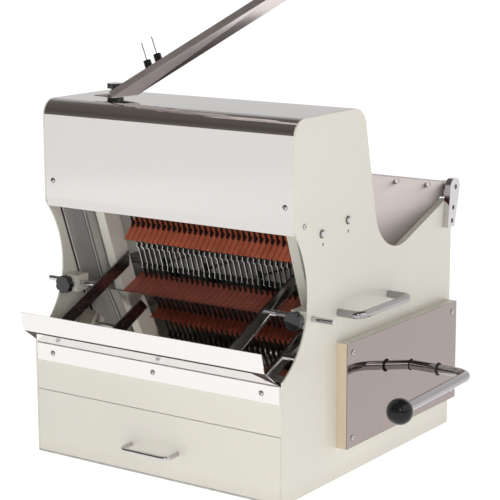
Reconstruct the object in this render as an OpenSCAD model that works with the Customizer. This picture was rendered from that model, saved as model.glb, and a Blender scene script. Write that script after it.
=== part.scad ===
// Bench-top bread slicer: two tall side plates with an outlet in front, a loading
// bay behind, two blade frames that saw against each other, and a feed lever.
// X runs to the right, Y to the back, Z up. The origin is the middle of the footprint.

/* [Casing] */
// Width over the side plates
body_w = 550; // [530:2:580]
// Depth of the base, front to back
body_d = 586; // [580:2:610]
// Thickness of a side plate
plate_t = 3; // [2:0.5:4]
// Height of the hood top above the bench
hood_top = 658; // [645:1:690]
// Distance of the hood front behind the base front
hood_y = 37; // [30:1:44]
// Thickness of the hood sheet
hood_t = 1.5; // [1:0.1:2]
// Thickness of the base pan
pan_t = 3; // [2:0.5:4]
// Thickness of the front and rear panels
panel_t = 2; // [1.5:0.1:2.5]
// Height of the gap line over the drawer
drawer_top = 122; // [115:1:126]

/* [Side plate outline] */
// Depth of the outlet curve behind the base front
waist_y = 79.7; // [74:0.1:84]
// Height of the deepest point of the outlet curve
waist_z = 350; // [345:1:355]
// Radius of the outlet curve above its deepest point
brow_r = 185; // [178:1:195]
// Radius of the outlet curve below its deepest point
chin_r = 148; // [143:1:155]
// Radius of the front top corner
top_front_r = 30; // [20:1:40]
// Radius of the rear top corner of the hood
top_rear_r = 38; // [28:1:44]
// Depth at which the rear slope of the hood meets the top
top_rear_y = 258.4; // [250:0.1:264]
// Depth of the corner that the bay curve rounds
bay_y = 322.4; // [316:0.1:328]
// Height of the corner that the bay curve rounds
bay_z = 361.6; // [356:0.1:366]
// Radius of the bay curve
bay_r = 85; // [76:1:90]
// Height of the rear corner before it is rounded
rear_z = 459; // [454:1:462]
// Radius of the rear corner
rear_r = 10; // [6:1:14]

/* [Slicing section] */
// Lean of the blades from the vertical
lean = 19.5; // [16:0.5:22]
// Depth of the blade plane at the bed
blade_y = 209.5; // [206:0.5:212]
// Height of the loading bed
bed_z = 330; // [326:1:334]
// Thickness of the bed sheet
bed_t = 2; // [1.5:0.1:3]
// Number of blades, of a full row of 31
blades = 31; // [21:2:31]
// Distance between blades
pitch = 12.2; // [11:0.1:12.6]
// Width of a blade
blade_w = 14; // [11:0.5:15]
// Thickness of a blade
blade_t = 0.6; // [0.5:0.1:0.8]
// Width of a slot in the combs
slot_w = 2.4; // [1.8:0.1:3]
// Height of the upper comb's edge above the bed, along the blades
comb_gap = 71; // [64:1:76]
// Travel of a blade frame each way from the middle
stroke = 10; // [7:0.5:11]

/* [Outlet] */
// Height of the bend of the chute, at the base front
tray_z = 214; // [212:0.5:216]
// Depth of the rear edge of the chute deck
deck_y = 158; // [150:1:159]
// Slope of the chute deck
deck_slope = 24.8; // [23:0.1:25]
// Reach of the chute strip in front of the base
strip_y = 40; // [34:1:46]
// Rise of the chute strip
strip_z = 29.5; // [25:0.5:34]
// Reach of the lip beyond the strip
lip_y = 9; // [5:0.5:12]
// Height of the lip
lip_z = 35; // [28:0.5:40]
// Half width of the lip
lip_x = 266; // [255:1:268]
// Thickness of the chute sheet
tray_t = 1.2; // [1:0.1:1.5]

/* [Loaf guides] */
// Distance of a guide bar's inner face from the middle
guide_x = 185; // [178:1:186]
// Height of a guide bar
guide_h = 26; // [20:1:30]
// Thickness of a guide bar
guide_t = 4; // [3:0.5:5]
// Depth of the guide rods
rod_y = 94; // [92:1:97]
// Height of the guide rods
rod_z = 310; // [307:1:313]
// Diameter of a guide rod
rod_d = 10; // [8:0.5:12]
// Distance of a guide rod's outer end from the middle
rod_end = 317.5; // [305:0.5:330]
// Diameter of a clamp knob
knob_d = 34; // [28:1:40]

/* [Feed lever] */
// Depth of the lever shaft
lever_y = 398; // [392:1:402]
// Height of the lever shaft
lever_z = 164; // [160:1:168]
// Diameter of the lever rod
lever_d = 18; // [15:0.5:20]
// Distance of the lever arm from the middle
arm_x = 421; // [400:1:440]
// Length of the lever arm, shaft to ball
arm_l = 273; // [240:1:300]
// Outward lean of the lever arm
arm_lean = 2; // [0:0.5:5]
// Diameter of the ball grip
ball_d = 46; // [40:1:50]
// Reach of a pusher finger from the shaft
finger_r = 235; // [228:1:240]
// Angle of the fingers in front of the vertical at rest
finger_a = 42; // [40:0.5:43]

/* [Side cover] */
// Front end of the cover on the right side
cover_y0 = 172; // [168:1:180]
// Rear end of the cover
cover_y1 = 574; // [560:1:578]
// Lower edge of the cover
cover_z0 = 59; // [54:1:64]
// Upper edge of the cover
cover_z1 = 251.5; // [246:0.5:256]
// Depth of the cover frame
cover_h = 20.5; // [16:0.5:24]
// Thickness of the cover sheet
cover_t = 1.8; // [1.2:0.1:2.5]

/* [Loading flap] */
// Depth of the flap's hinge pin
pin_y = 580; // [578:0.5:582]
// Height of the flap's hinge pin
pin_z = 473; // [470:0.5:476]
// Diameter of the hinge pin
pin_d = 10; // [8:0.5:11]
// Half width of the flap
flap_x = 259; // [248:1:264]
// Thickness of the hinge brackets
ear_t = 12; // [8:0.5:14]

/* [Handles] */
// Diameter of a carry handle's rod
grip_d = 14; // [11:0.5:15]
// Distance of a carry handle's bar from the plate
grip_out = 45; // [38:1:50]
// Depth of a carry handle's front root
grip_y0 = 177; // [170:1:185]
// Depth of a carry handle's rear root
grip_y1 = 350; // [330:1:360]
// Height of the carry handles
grip_z = 305; // [300:1:310]
// Diameter of the drawer handle's rod
pull_d = 8; // [6:0.5:10]
// Half length of the drawer handle
pull_x = 52; // [45:1:60]
// Reach of the drawer handle
pull_out = 33; // [28:1:40]
// Height of the drawer handle
pull_z = 52; // [45:1:60]

/* [Drive] */
// Distance of the crankshaft below the bed, along the blades
crank_drop = 267; // [264:1:270]
// Diameter of the crankshaft
crank_d = 20; // [16:0.5:22]
// Diameter of the eccentric discs
disc_d = 44; // [42:0.5:46]
// Diameter of the large pulley
pulley_d = 104; // [90:1:108]
// Diameter of the motor pulley
pinion_d = 52; // [44:1:58]
// Depth of the motor
motor_y = 480; // [470:1:490]
// Height of the motor
motor_z = 77; // [74:1:82]
// Diameter of the motor
motor_d = 110; // [100:1:116]
// Length of the motor
motor_l = 190; // [160:1:220]

/* [Bagging scoop] */
// Place of the scoop's stud, to the left of the middle
scoop_x = 165; // [150:1:180]
// Depth of the scoop's stud
scoop_y = 112; // [100:1:125]
// Length of the scoop's trough
scoop_l = 480; // [420:5:520]
// Width of the trough at its foot
scoop_w0 = 62; // [54:1:76]
// Width of the trough at its free end
scoop_w1 = 51; // [42:1:64]
// Slope of the trough
scoop_slope = 25.5; // [20:0.5:32]
// Heading of the trough in front of the right-hand direction
scoop_turn = 12; // [0:1:30]
// Height of the trough's edges
scoop_edge = 12; // [8:0.5:16]

/* [Hidden] */
$fn = 48;

// Overrun of every cut, clearance of running pieces and clearance of fixed ones
over = 2;
run = 0.4;
snug = 0.15;
// Points along an arc of an outline
arc_steps = 14;
// Bend radius of sheet metal
bend_r = 3;

half_w = body_w / 2;
// Width and depth for which the places across and along the casing are given
drawn_w = 550;
drawn_d = 586;
// Space beside the full row of blades, and the number of blades in it
row_in = 92;
full_row = 31;
in_x = half_w - plate_t;

// Lip bent inwards along the lower edge of the hood front
hood_bend_z = 478;
hood_lip = 16;
hood_lip_in = 2.5;

// Screws: shank and head sizes of the small and the large kind
screw_d = 4;
screw_head = 9;
screw_h = 2.4;
screw_l = 6;
bolt_d = 8;
bolt_head = 15;
bolt_h = 5;
bolt_l = 13;

// Screw places
hood_screw_in = 20;
hood_screw_x = half_w - hood_screw_in;
hood_screw_z = 510;
temple_y = 67;
temple_z = 475;
bracket_screw_in = 42.5;
bracket_screw_x = half_w - bracket_screw_in;
bracket_screw_z = 194.6;
bracket_z0 = 179;
bracket_t = 1.5;
bracket_in = 5;
bracket_x = half_w - bracket_in;
bracket_top_in = 45;
bracket_top_x = half_w - bracket_top_in;
cover_inset = 18;
cover_wall = 5;
cover_lug = 30;
ear_screw_in = [14, 18];
ear_screw_y = [for (i = ear_screw_in) body_d - i];
ear_screw_z = [434, 409];
flap_screw_in = [109, 40];
flap_screw_x = [for (i = flap_screw_in) half_w - i];
flap_screw_up = 2;

// Upper comb rails, in the blade frame's own directions
rail = 16;
rail_front_v = -41.6;
rail_front_u = 146.3;
rail_rear_v = 42;
rail_rear_u = 128.4;
rail_low_v0 = -56;
rail_low_v1 = -26;
rail_low_u0 = -46;
rail_low_u1 = -33;

// Combs
comb_lower_in = 71;
comb_lower_x = half_w - comb_lower_in;
comb_end = 6;
post_w = 20;
post_v0 = -48;
post_v1 = -8;
comb_front_v = -29.5;
comb_spine_v = 9.5;
comb_back_v = 26;
comb_shelf = 8;
comb_face_a = 62.5;
comb_low_front = -60;
comb_low_band = 10;
comb_low_nose = 2;
comb_low_rear_v = 12;
comb_low_rear_u = -25;
liner_v0 = -85.5;
liner_v1 = -23.5;
liner_u0 = -30;
liner_u1 = 136;
liner_neck = -52;
liner_u2 = 172;
liner_t = 1.5;
rim_w = 9;
rim_t = 2;
rim_in = 34;
rim_end = 22;

// Blade frames: bars, stiles and their places across the blade plane
bar_t = 10;
bar_h = 30;
bar_v = 16;
bar_top = 270;
bar_low = -140;
stile_in = 41;
stile_w = 20;
stile_x0 = half_w - stile_in;
stile_x1 = stile_x0 + stile_w;
guide_block_h = 40;
guide_block_v = 30;
guide_block_in = 27;
guide_block_x = half_w - guide_block_in;
guide_top = 195;
guide_low = -130;
lug_w = 10;
lug_d = 18;
lug_drop = 62;
lug_pin_d = 10;
front_rod_in = 54;
rear_rod_in = 70;
front_rod_x = half_w - front_rod_in;
rear_rod_x = half_w - rear_rod_in;
rod_w = 5;
rod_ring = 8;
small_eye = 24;

// Drive
bearing_d = 46;
bearing_t = 10;
crank_end = in_x - run;
belt_in = 29;
belt_x = half_w - belt_in;
belt_w = 12;
belt_t = 4;
pulley_rim = 3;
motor_in = 89;
motor_x = motor_in - half_w;
motor_cap = 12;
motor_cap_share = 0.86;
motor_shaft_d = 16;
mount_w = 130;
mount_l = 110;
mount_h = 40;

// Lever and fingers
bush_d = 28;
bush_flange = 38;
bush_t = 6;
elbow_r = 25;
elbow_draw = 0.2;
ring_out = 80;
ring_x = half_w + ring_out;
ring_d = 3.5;
finger_share = 3;
finger_end = 2;
finger_t = 6;
finger_w = 16;
finger_hub = 36;
finger_hub_w = 22;
cam_r = 44;
cam_t = 8;
cam_half = 24;
stop_d = 10;
stop_r = 38;
cam_x = half_w + cover_h / 2 - cam_t / 2;

// Bed
bed_front = 224;
bed_notch_in = 45;
bed_notch_x = half_w - bed_notch_in;
bed_notch_y = 244;
bed_slot = 14;
bed_slot_y0 = 234;
bed_slot_in = 22;
bed_slot_y1 = body_d - bed_slot_in;

// Flap
flap_t = 2;
flap_off = 13;
flap_gap = 6;
flap_rise = 9;
tube_d = 18;
knuckle_t = 4;
knuckle_h = 20;
ear_top_r = 16.5;
ear_foot_in = 34;
ear_foot_w = 26;
ear_foot_y0 = body_d - ear_foot_in;
ear_foot_y1 = ear_foot_y0 + ear_foot_w;
ear_foot_z = 397;
ear_top_in = 25;
ear_top_w = 40;
ear_top_y0 = body_d - ear_top_in;
ear_top_y1 = ear_top_y0 + ear_top_w;
ear_top_z = 490;

// Drawer
drawer_gap = 0.5;
drawer_d = 232;
drawer_h = 78;
drawer_wall = 1.5;
drawer_side = 10;
runner_w = 18;
runner_h = 6;

// Guides
clamp_w = 32;
clamp_y0 = 79;
clamp_y1 = 113;
clamp_h = 30;
knob_h = 13;
knob_y = 70;
knob_lobes = 7;
stud_d = 8;
guide_y0 = -28;
guide_y1 = 168;
guide_top_z = 273.6;

// Switches and gland
box_y = 110;
box_z = 150;
box_w = 56;
box_h = 96;
box_d = 26;
box_wall = 2.5;
button_d = 22;
button_h = 12;
button_gap = 24;
button_collar = 30;
button_travel = 3;
gland_in = 95;
gland_x = gland_in - half_w;
gland_z = 60;
gland_d = 16;
gland_hex = 24;
gland_bore = 8;
gland_l = 16;

// Scoop
scoop_t = 1.2;
scoop_foot = 52;
foot_pad = 30;
foot_h = 6;
scoop_stud_d = 8;
scoop_knob_d = 30;
scoop_knob_h = 9;
knob_lift = 12;
clip_at = [112, 142];
clip_nut_d = 14;
clip_nut_h = 25;
clip_wire_d = 2;
clip_wire_h = 34;
handle_elbow = 14;

cream = [0.86, 0.85, 0.79];
steel = [0.78, 0.77, 0.76];
mirror_steel = [0.62, 0.61, 0.6];
chrome = [0.85, 0.85, 0.86];
phenolic = [0.5, 0.24, 0.17];
black = [0.05, 0.05, 0.05];
grey = [0.45, 0.45, 0.46];

// Derived places
deck_rise = tan(deck_slope);
strip_a = atan2(strip_z, strip_y);
bracket_bend = tray_z - tray_t / cos(strip_a);
crank_y = blade_y + crank_drop * sin(lean);
crank_z = bed_z - crank_drop * cos(lean);
wider = (body_w - drawn_w) / 2;
deeper = body_d - drawn_d;
side_blades = round((half_w - row_in) / pitch) - (full_row - blades) / 2;
blade_count = 2 * side_blades + 1;
row_x = side_blades * pitch;
finger_x = [round(side_blades / finger_share), side_blades - finger_end];
swing_a = asin(sin(finger_a) + deeper / 2 / finger_r);
lever_range = 2 * swing_a;
lip_at = lip_x + wider;
guide_at = guide_x + wider;
rod_tip = rod_end + wider;
arm_at = arm_x + wider;
flap_at = flap_x + wider;
scoop_at = scoop_x + wider;
pin_at = pin_y + deeper;
lever_at = lever_y + deeper / 2;
cover_end = cover_y1 + deeper;
motor_at = motor_y + deeper;
comb_x = row_x + comb_end;
steep_a = atan2(hood_top - bay_z, top_rear_y - bay_y);
bay_rise_a = atan2(rear_z - bay_z, body_d - bay_y);
bay_turn = (steep_a - bay_rise_a) / 2;
steep_end = bay_r / tan(bay_turn);
flap_low = bed_z + flap_gap;

// Helpers
function yz(p) = [p[0], p[1]];
function unit(v) = v / norm(v);
function left_of(v) = [-v[1], v[0]];
function arc(c, r, a0, a1) =
  [for (i = [0:arc_steps]) let (a = a0 + (a1 - a0) * i / arc_steps) c + r * [cos(a), sin(a)]];

// Rounds the corner q between p and s with the radius r
function corner(p, q, s, r) = r == 0 ? [q] :
  let (u = unit(p - q), v = unit(s - q), h = acos(u * v) / 2)
  let (c = q + unit(u + v) * r / sin(h))
  let (b = q + u * r / tan(h) - c, e = q + v * r / tan(h) - c)
  let (a0 = atan2(b[1], b[0]), a1 = atan2(e[1], e[0]))
  let (d = (a1 - a0 + 540) % 360 - 180)
  arc(c, r, a0, a0 + d);

function round_loop(p) = let (n = len(p))
  [for (i = [0:n - 1]) each corner(yz(p[(i + n - 1) % n]), yz(p[i]), yz(p[(i + 1) % n]), p[i][2])];

function round_path(p) = let (n = len(p))
  [yz(p[0]), for (i = [1:n - 2]) each corner(yz(p[i - 1]), yz(p[i]), yz(p[i + 1]), p[i][2]),
   yz(p[n - 1])];

// Moves a path sideways, so that it becomes the other face of a sheet
function shifted(p, t) = let (n = len(p))
  [for (i = [0:n - 1])
    let (a = unit(yz(p[max(i, 1)]) - yz(p[max(i, 1) - 1])))
    let (b = unit(yz(p[min(i, n - 2) + 1]) - yz(p[min(i, n - 2)])))
    let (m = left_of(a), k = left_of(b), q = yz(p[i]) + (m + k) * t / (1 + m * k))
    let (turn = sign(a[0] * b[1] - a[1] * b[0]), r = p[i][2])
    [q[0], q[1], r == 0 ? 0 : max(r - turn * t, 0)]];

function backwards(p) = [for (i = [len(p) - 1:-1:0]) p[i]];
function sheet(p, t) = concat(round_path(p), backwards(round_path(shifted(p, t))));

// Moves a drawing from the base front to the middle of the footprint
module place() translate([0, -body_d / 2, 0]) children();

// Draws an outline of the YZ plane from x0 to x1
module along_x(x0, x1) translate([x0, 0, 0]) rotate([90, 0, 90]) linear_extrude(x1 - x0) children();

module bar_x(d, x0, x1, y, z) translate([x0, y, z]) rotate([0, 90, 0]) cylinder(d = d, h = x1 - x0);

module bar_y(d, x, y0, y1, z) translate([x, y0, z]) rotate([-90, 0, 0]) cylinder(d = d, h = y1 - y0);

module block(x, y, z) translate([x[0], y[0], z[0]]) cube([x[1] - x[0], y[1] - y[0], z[1] - z[0]]);

// The directions of the slicing section: Z along the blades and Y across their plane
module tilted() translate([0, blade_y, bed_z]) rotate([lean, 0, 0]) children();

module both() {
  children();
  mirror([1, 0, 0]) children();
}

// A screw that points along +Z from a head above the plane z = 0
module screw() {
  cylinder(d = screw_head, h = screw_h);
  translate([0, 0, -screw_l]) cylinder(d = screw_d, h = screw_l + screw_h / 2);
}

module screw_hole() translate([0, 0, -screw_l - over])
  cylinder(d = screw_d + 2 * snug, h = screw_l + 2 * over);

module bolt() {
  cylinder(d = bolt_head, h = bolt_h, $fn = 6);
  translate([0, 0, -bolt_l]) cylinder(d = bolt_d, h = bolt_l + bolt_h / 2);
}

module bolt_hole() translate([0, 0, -bolt_l - over]) cylinder(d = bolt_d + 2 * snug, h = bolt_l + 2 * over);

// Bow of round rod between two roots w apart, out by h, drawn from the plane z = 0
module bow(d, w, h, r) {
  for (s = [-1, 1]) {
    translate([s * w / 2, 0, 0]) cylinder(d = d, h = h - r);
    translate([s * (w / 2 - r), 0, h - r]) rotate([90, 0, 0]) rotate([0, 0, s > 0 ? 0 : 90])
      rotate_extrude(angle = 90) translate([r, 0]) circle(d = d);
  }
  translate([-w / 2 + r, 0, h]) rotate([0, 90, 0]) cylinder(d = d, h = w - 2 * r);
}

// Knob with round flutes, along +Z
module lobed_knob(d, h) {
  flute = d / 3;
  difference() {
    cylinder(d = d, h = h);
    for (i = [0:knob_lobes - 1]) rotate(i * 360 / knob_lobes)
      translate([(d + flute) / 2 - d / 20, 0, -over]) cylinder(d = flute, h = h + 2 * over);
  }
}

// Casing

function plate_outline() =
  let (brow = acos((hood_y + brow_r - waist_y) / brow_r), chin = acos((chin_r - waist_y) / chin_r))
  concat(
    round_path([[0, 0, 0], [body_d, 0, 0], [body_d, rear_z, rear_r], [bay_y, bay_z, bay_r],
      [top_rear_y, hood_top, top_rear_r], [hood_y, hood_top, top_front_r],
      [hood_y, waist_z + brow_r * sin(brow), 0]]),
    arc([waist_y - brow_r, waist_z], brow_r, brow, 0),
    arc([waist_y - chin_r, waist_z], chin_r, 0, -chin));

module plate_holes() {
  along_x(-over, plate_t + over) {
    translate([rod_y, rod_z]) circle(d = rod_d + 2 * run);
    translate([lever_at, lever_z]) circle(d = bush_d + 2 * snug);
  }
  translate([plate_t, 0, 0]) {
    comb_bolt_places() bolt_hole();
    temple_place() screw_hole();
    ear_screw_places() screw_hole();
  }
}

// Fastener places on the outer face of a right-hand plate
module comb_bolt_places() for (p = [[rail_front_v, rail_front_u], [rail_rear_v, rail_rear_u]])
  tilted() translate([0, p[0], p[1]]) rotate([0, 90, 0]) children();

module temple_place() translate([0, temple_y, temple_z]) rotate([0, 90, 0]) children();

module ear_screw_places() for (i = [0, 1])
  translate([0, ear_screw_y[i], ear_screw_z[i]]) rotate([0, 90, 0]) children();

module side_plate() difference() {
  union() {
    along_x(0, plate_t) polygon(plate_outline());
    along_x(-rim_w, plate_t / 2) polygon(rim_outline());
  }
  plate_holes();
}

// Rim turned inwards along the rising edge of the bay
function rim_outline() =
  let (e = unit([body_d - bay_y, rear_z - bay_z]), n = [e[1], -e[0]],
    a = [bay_y, bay_z] + e * rim_in, b = [body_d, rear_z] - e * rim_end)
  [a, b, b + rim_t * n, a + rim_t * n];

module right_side_plate() color(cream) place() translate([in_x, 0, 0]) side_plate();

module left_side_plate() color(cream) place() mirror([1, 0, 0]) translate([in_x, 0, 0]) side_plate();

module base_pan() color(grey) place() block([-in_x, in_x], [0, body_d], [0, pan_t]);

module front_panel() color(cream) place() difference() {
  block([-in_x, in_x], [0, panel_t], [drawer_top + drawer_gap, bracket_bend - bracket_t]);
  bracket_places() screw_hole();
}

module rear_panel() color(cream) place() difference() {
  block([-in_x, in_x], [body_d - panel_t, body_d], [pan_t, bed_z]);
  bar_y(gland_d + 2 * snug, gland_x, body_d - panel_t - over, body_d + over, gland_z);
}

hood_path = [[hood_y + hood_lip_in, hood_bend_z - hood_lip, 0], [hood_y, hood_bend_z, bend_r],
  [hood_y, hood_top, top_front_r], [top_rear_y, hood_top, top_rear_r],
  [bay_y + steep_end * cos(steep_a), bay_z + steep_end * sin(steep_a), 0]];

module hood() color(steel) place() difference() {
  along_x(-in_x, in_x) polygon(sheet(hood_path, -hood_t));
  hood_screw_places() screw_hole();
  translate([-scoop_at, scoop_y, hood_top - hood_t - over])
    cylinder(d = scoop_stud_d + 2 * snug, h = hood_t + 2 * over);
}

module hood_screw_places() for (s = [-1, 1])
  translate([s * hood_screw_x, hood_y, hood_screw_z]) rotate([90, 0, 0]) children();

// Outlet

tray_path = [[deck_y, tray_z + deck_y * deck_rise, 0], [0, tray_z, bend_r],
  [-strip_y, tray_z + strip_z, bend_r], [-strip_y - lip_y, tray_z + strip_z + lip_z, 0]];

bracket_path = [[0, bracket_z0, 0], [0, bracket_bend, bend_r],
  [-strip_y + bend_r, bracket_bend + (strip_y - bend_r) * strip_z / strip_y, 0]];

module chute_tray() color(mirror_steel) place()
  along_x(-lip_at, lip_at) polygon(sheet(tray_path, tray_t));

module chute_bracket() color(steel) place() difference() {
  intersection() {
    along_x(-bracket_x, bracket_x) polygon(sheet(bracket_path, bracket_t));
    translate([0, over, 0]) rotate([90, 0, 0]) linear_extrude(strip_y + 2 * over)
      polygon(bracket_mask());
  }
  bracket_places() screw_hole();
}

function bracket_mask() = [
  [-bracket_x, bracket_z0 - over], [bracket_x, bracket_z0 - over], [bracket_x, bracket_bend],
  [bracket_top_x, tray_z + strip_z + over], [-bracket_top_x, tray_z + strip_z + over],
  [-bracket_x, bracket_bend]];

module bracket_places() for (i = [-1:1])
  translate([i * bracket_screw_x, -bracket_t, bracket_screw_z]) rotate([90, 0, 0]) children();

// Slicing section

module comb_rails() color(grey) place() tilted() {
  difference() {
    union() {
      block([-in_x, in_x], [rail_front_v - rail / 2, rail_front_v + rail / 2],
        [rail_front_u - rail / 2, rail_front_u + rail / 2]);
      block([-in_x, in_x], [rail_rear_v - rail / 2, rail_rear_v + rail / 2],
        [rail_rear_u - rail / 2, rail_rear_u + rail / 2]);
    }
    both() for (p = [[rail_front_v, rail_front_u], [rail_rear_v, rail_rear_u]])
      translate([half_w, p[0], p[1]]) rotate([0, 90, 0]) bolt_hole();
  }
  block([-in_x, in_x], [rail_low_v0, rail_low_v1], [rail_low_u0, rail_low_u1]);
}

module comb_posts() color(cream) place() tilted() both()
  block([comb_lower_x, comb_lower_x + post_w], [post_v0, post_v1], [rail_low_u1, rail_front_u - rail / 2]);

module comb_slots(v0, v1, u0, u1) for (i = [0:blade_count - 1])
  block([i * pitch - row_x - slot_w / 2, i * pitch - row_x + slot_w / 2], [v0, v1], [u0, u1]);

module upper_comb() color(phenolic) place() tilted() difference() {
  along_x(-comb_x, comb_x) polygon([
    [comb_front_v, comb_gap], [comb_back_v, comb_gap],
    [comb_back_v, rail_rear_u - rail / 2 - comb_shelf],
    [rail_rear_v - rail / 2, rail_rear_u - rail / 2 - comb_shelf],
    [rail_rear_v - rail / 2, rail_rear_u + rail / 2],
    [comb_back_v - comb_shelf / 2, rail_rear_u + rail / 2],
    [comb_back_v - comb_shelf / 2,
      comb_gap + (comb_back_v - comb_shelf / 2 - comb_front_v) / tan(comb_face_a)]]);
  comb_slots(comb_front_v - over, comb_spine_v, comb_gap - over, rail_rear_u + rail);
}

module lower_comb() color(phenolic) place() tilted() difference() {
  along_x(-comb_lower_x, comb_lower_x) polygon([
    [comb_low_front, rail_low_u1], [comb_low_front, rail_low_u1 + comb_low_nose],
    [comb_low_rear_v, comb_low_rear_u], [comb_low_rear_v, rail_low_u1]]);
  comb_slots(comb_low_front + comb_low_band, comb_low_rear_v + over,
    rail_low_u1 - over, comb_low_rear_u + over);
}

module side_liners() color(mirror_steel) place() tilted() both()
  along_x(in_x - liner_t, in_x) polygon([
    [liner_v0, liner_u0], [liner_v1, liner_u0], [liner_v1, liner_u1], [liner_neck, liner_u1],
    [liner_neck, liner_u2], [liner_v0, liner_u2]]);

module loaf_bed() color(steel) place() translate([0, 0, bed_z - bed_t]) difference() {
  linear_extrude(bed_t) polygon([
    [-in_x, bed_notch_y], [-bed_notch_x, bed_notch_y], [-bed_notch_x, bed_front], [bed_notch_x, bed_front],
    [bed_notch_x, bed_notch_y], [in_x, bed_notch_y], [in_x, body_d - panel_t], [-in_x, body_d - panel_t]]);
  both() for (i = finger_x)
    block([i * pitch - bed_slot / 2, i * pitch + bed_slot / 2],
      [bed_slot_y0, bed_slot_y1], [-over, bed_t + over]);
}

// A blade along the local Z, with an ear at each end that reaches its own frame (s = -1 front, 1 rear)
module blade(s) along_x(-blade_t / 2, blade_t / 2) polygon([
  [s * -blade_w / 2, bar_low - bar_h / 2], [s * (bar_v - bar_t / 2), bar_low - bar_h / 2],
  [s * (bar_v - bar_t / 2), bar_low + bar_h / 2], [s * blade_w / 2, bar_low + bar_h / 2 + blade_w / 2],
  [s * blade_w / 2, bar_top - bar_h / 2 - blade_w / 2], [s * (bar_v - bar_t / 2), bar_top - bar_h / 2],
  [s * (bar_v - bar_t / 2), bar_top + bar_h / 2], [s * -blade_w / 2, bar_top + bar_h / 2]]);

module blade_row(first, s) place() tilted() for (i = [first:2:blade_count - 1])
  translate([i * pitch - row_x, 0, 0]) blade(s);

module front_blades() color(chrome) blade_row(0, -1);

module rear_blades() color(chrome) blade_row(1, 1);

// Frame of two crossbars and two stiles, with lugs for the connecting rods at rod_x
module blade_frame(s, rod_x) place() tilted() {
  v = [s * bar_v - bar_t / 2, s * bar_v + bar_t / 2];
  for (u = [bar_low, bar_top]) block([-stile_x1, stile_x1], v, [u - bar_h / 2, u + bar_h / 2]);
  both() {
    block([stile_x0, stile_x1], v, [bar_low, bar_top]);
    lug_x = rod_x - rod_w / 2 - run - lug_w;
    translate([lug_x, 0, 0]) {
      along_x(0, lug_w) polygon([
        [s * (bar_v - bar_t / 2), bar_low + bar_h / 2], [s * (bar_v - bar_t / 2), bar_low - bar_h / 2],
        [s * lug_d / 2, bar_low - lug_drop], [-s * lug_d / 2, bar_low - lug_drop],
        [-s * lug_d / 2, bar_low - bar_h / 2]]);
    }
  }
}

module front_blade_frame() color(grey) blade_frame(-1, front_rod_x);

module rear_blade_frame() color(grey) blade_frame(1, rear_rod_x);

// Slotted blocks on the side plates that the stiles slide in
module frame_guides() color([0.9, 0.9, 0.86]) place() tilted() both() for (u = [guide_low, guide_top])
  difference() {
    block([guide_block_x, in_x], [-guide_block_v, guide_block_v], [u, u + guide_block_h]);
    for (s = [-1, 1])
      block([guide_block_x - over, stile_x1 + run],
        [s * bar_v - bar_t / 2 - run, s * bar_v + bar_t / 2 + run],
        [u - over, u + guide_block_h + over]);
  }

// Drive

module at_crank() translate([0, crank_y, crank_z]) rotate([lean, 0, 0]) children();

module crankshaft() color(grey) place() at_crank() {
  bar_x(crank_d, -crank_end, crank_end, 0, 0);
  both() {
    bar_x(disc_d, front_rod_x - rod_w / 2, front_rod_x + rod_w / 2, stroke, 0);
    bar_x(disc_d, rear_rod_x - rod_w / 2, rear_rod_x + rod_w / 2, -stroke, 0);
  }
  difference() {
    bar_x(pulley_d, -belt_x - belt_w / 2 - pulley_rim, -belt_x + belt_w / 2 + pulley_rim, 0, 0);
    difference() {
      bar_x(pulley_d + over, -belt_x - belt_w / 2, -belt_x + belt_w / 2, 0, 0);
      bar_x(pulley_d - 2 * belt_t, -belt_x - belt_w / 2 - over, -belt_x + belt_w / 2 + over, 0, 0);
    }
  }
}

// Connecting rod in the plane x, on the disc at v = e, with its small end at the lug
module con_rod(x, e) {
  u1 = crank_drop + bar_low - lug_drop + small_eye / 2;
  reach = sqrt(u1 * u1 + e * e);
  translate([x - rod_w / 2, e, 0]) rotate([atan2(e, u1), 0, 0]) difference() {
    union() {
      bar_x(disc_d + 2 * rod_ring, 0, rod_w, 0, 0);
      bar_x(small_eye, 0, rod_w, 0, reach);
      block([0, rod_w], [-small_eye / 3, small_eye / 3], [disc_d / 2 + rod_ring / 2, reach]);
    }
    bar_x(disc_d + 2 * run, -over, rod_w + over, 0, 0);
    bar_x(lug_pin_d, -over, rod_w + over, 0, reach);
  }
}

module front_con_rods() color(steel) place() at_crank() both() con_rod(front_rod_x, stroke);

module rear_con_rods() color(steel) place() at_crank() both() con_rod(rear_rod_x, -stroke);

module crank_bearings() color(grey) place() both() translate([0, crank_y, crank_z]) difference() {
  bar_x(bearing_d, in_x - bearing_t, in_x, 0, 0);
  bar_x(crank_d + 2 * run, in_x - bearing_t - over, in_x + over, 0, 0);
}

module motor() color([0.35, 0.37, 0.4]) place() difference() {
  union() {
    bar_x(motor_d, motor_x + motor_cap, motor_x + motor_l - motor_cap, motor_at, motor_z);
    bar_x(motor_d * motor_cap_share, motor_x, motor_x + motor_l, motor_at, motor_z);
  }
  bar_x(motor_shaft_d + 2 * run, motor_x - over, motor_x + motor_l / 2, motor_at, motor_z);
}

module motor_mount() color(grey) place() difference() {
  block([motor_x + (motor_l - mount_l) / 2, motor_x + (motor_l + mount_l) / 2],
    [motor_at - mount_w / 2, motor_at + mount_w / 2], [pan_t, mount_h]);
  bar_x(motor_d + 2 * snug, motor_x - over, motor_x + motor_l + over, motor_at, motor_z);
}

module motor_pulley() color(grey) place() translate([0, motor_at, motor_z]) {
  bar_x(motor_shaft_d, -belt_x - belt_w, motor_x + motor_l / 2 - run, 0, 0);
  difference() {
    bar_x(pinion_d, -belt_x - belt_w / 2 - pulley_rim, -belt_x + belt_w / 2 + pulley_rim, 0, 0);
    difference() {
      bar_x(pinion_d + over, -belt_x - belt_w / 2, -belt_x + belt_w / 2, 0, 0);
      bar_x(pinion_d - 2 * belt_t, -belt_x - belt_w / 2 - over, -belt_x + belt_w / 2 + over, 0, 0);
    }
  }
}

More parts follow.
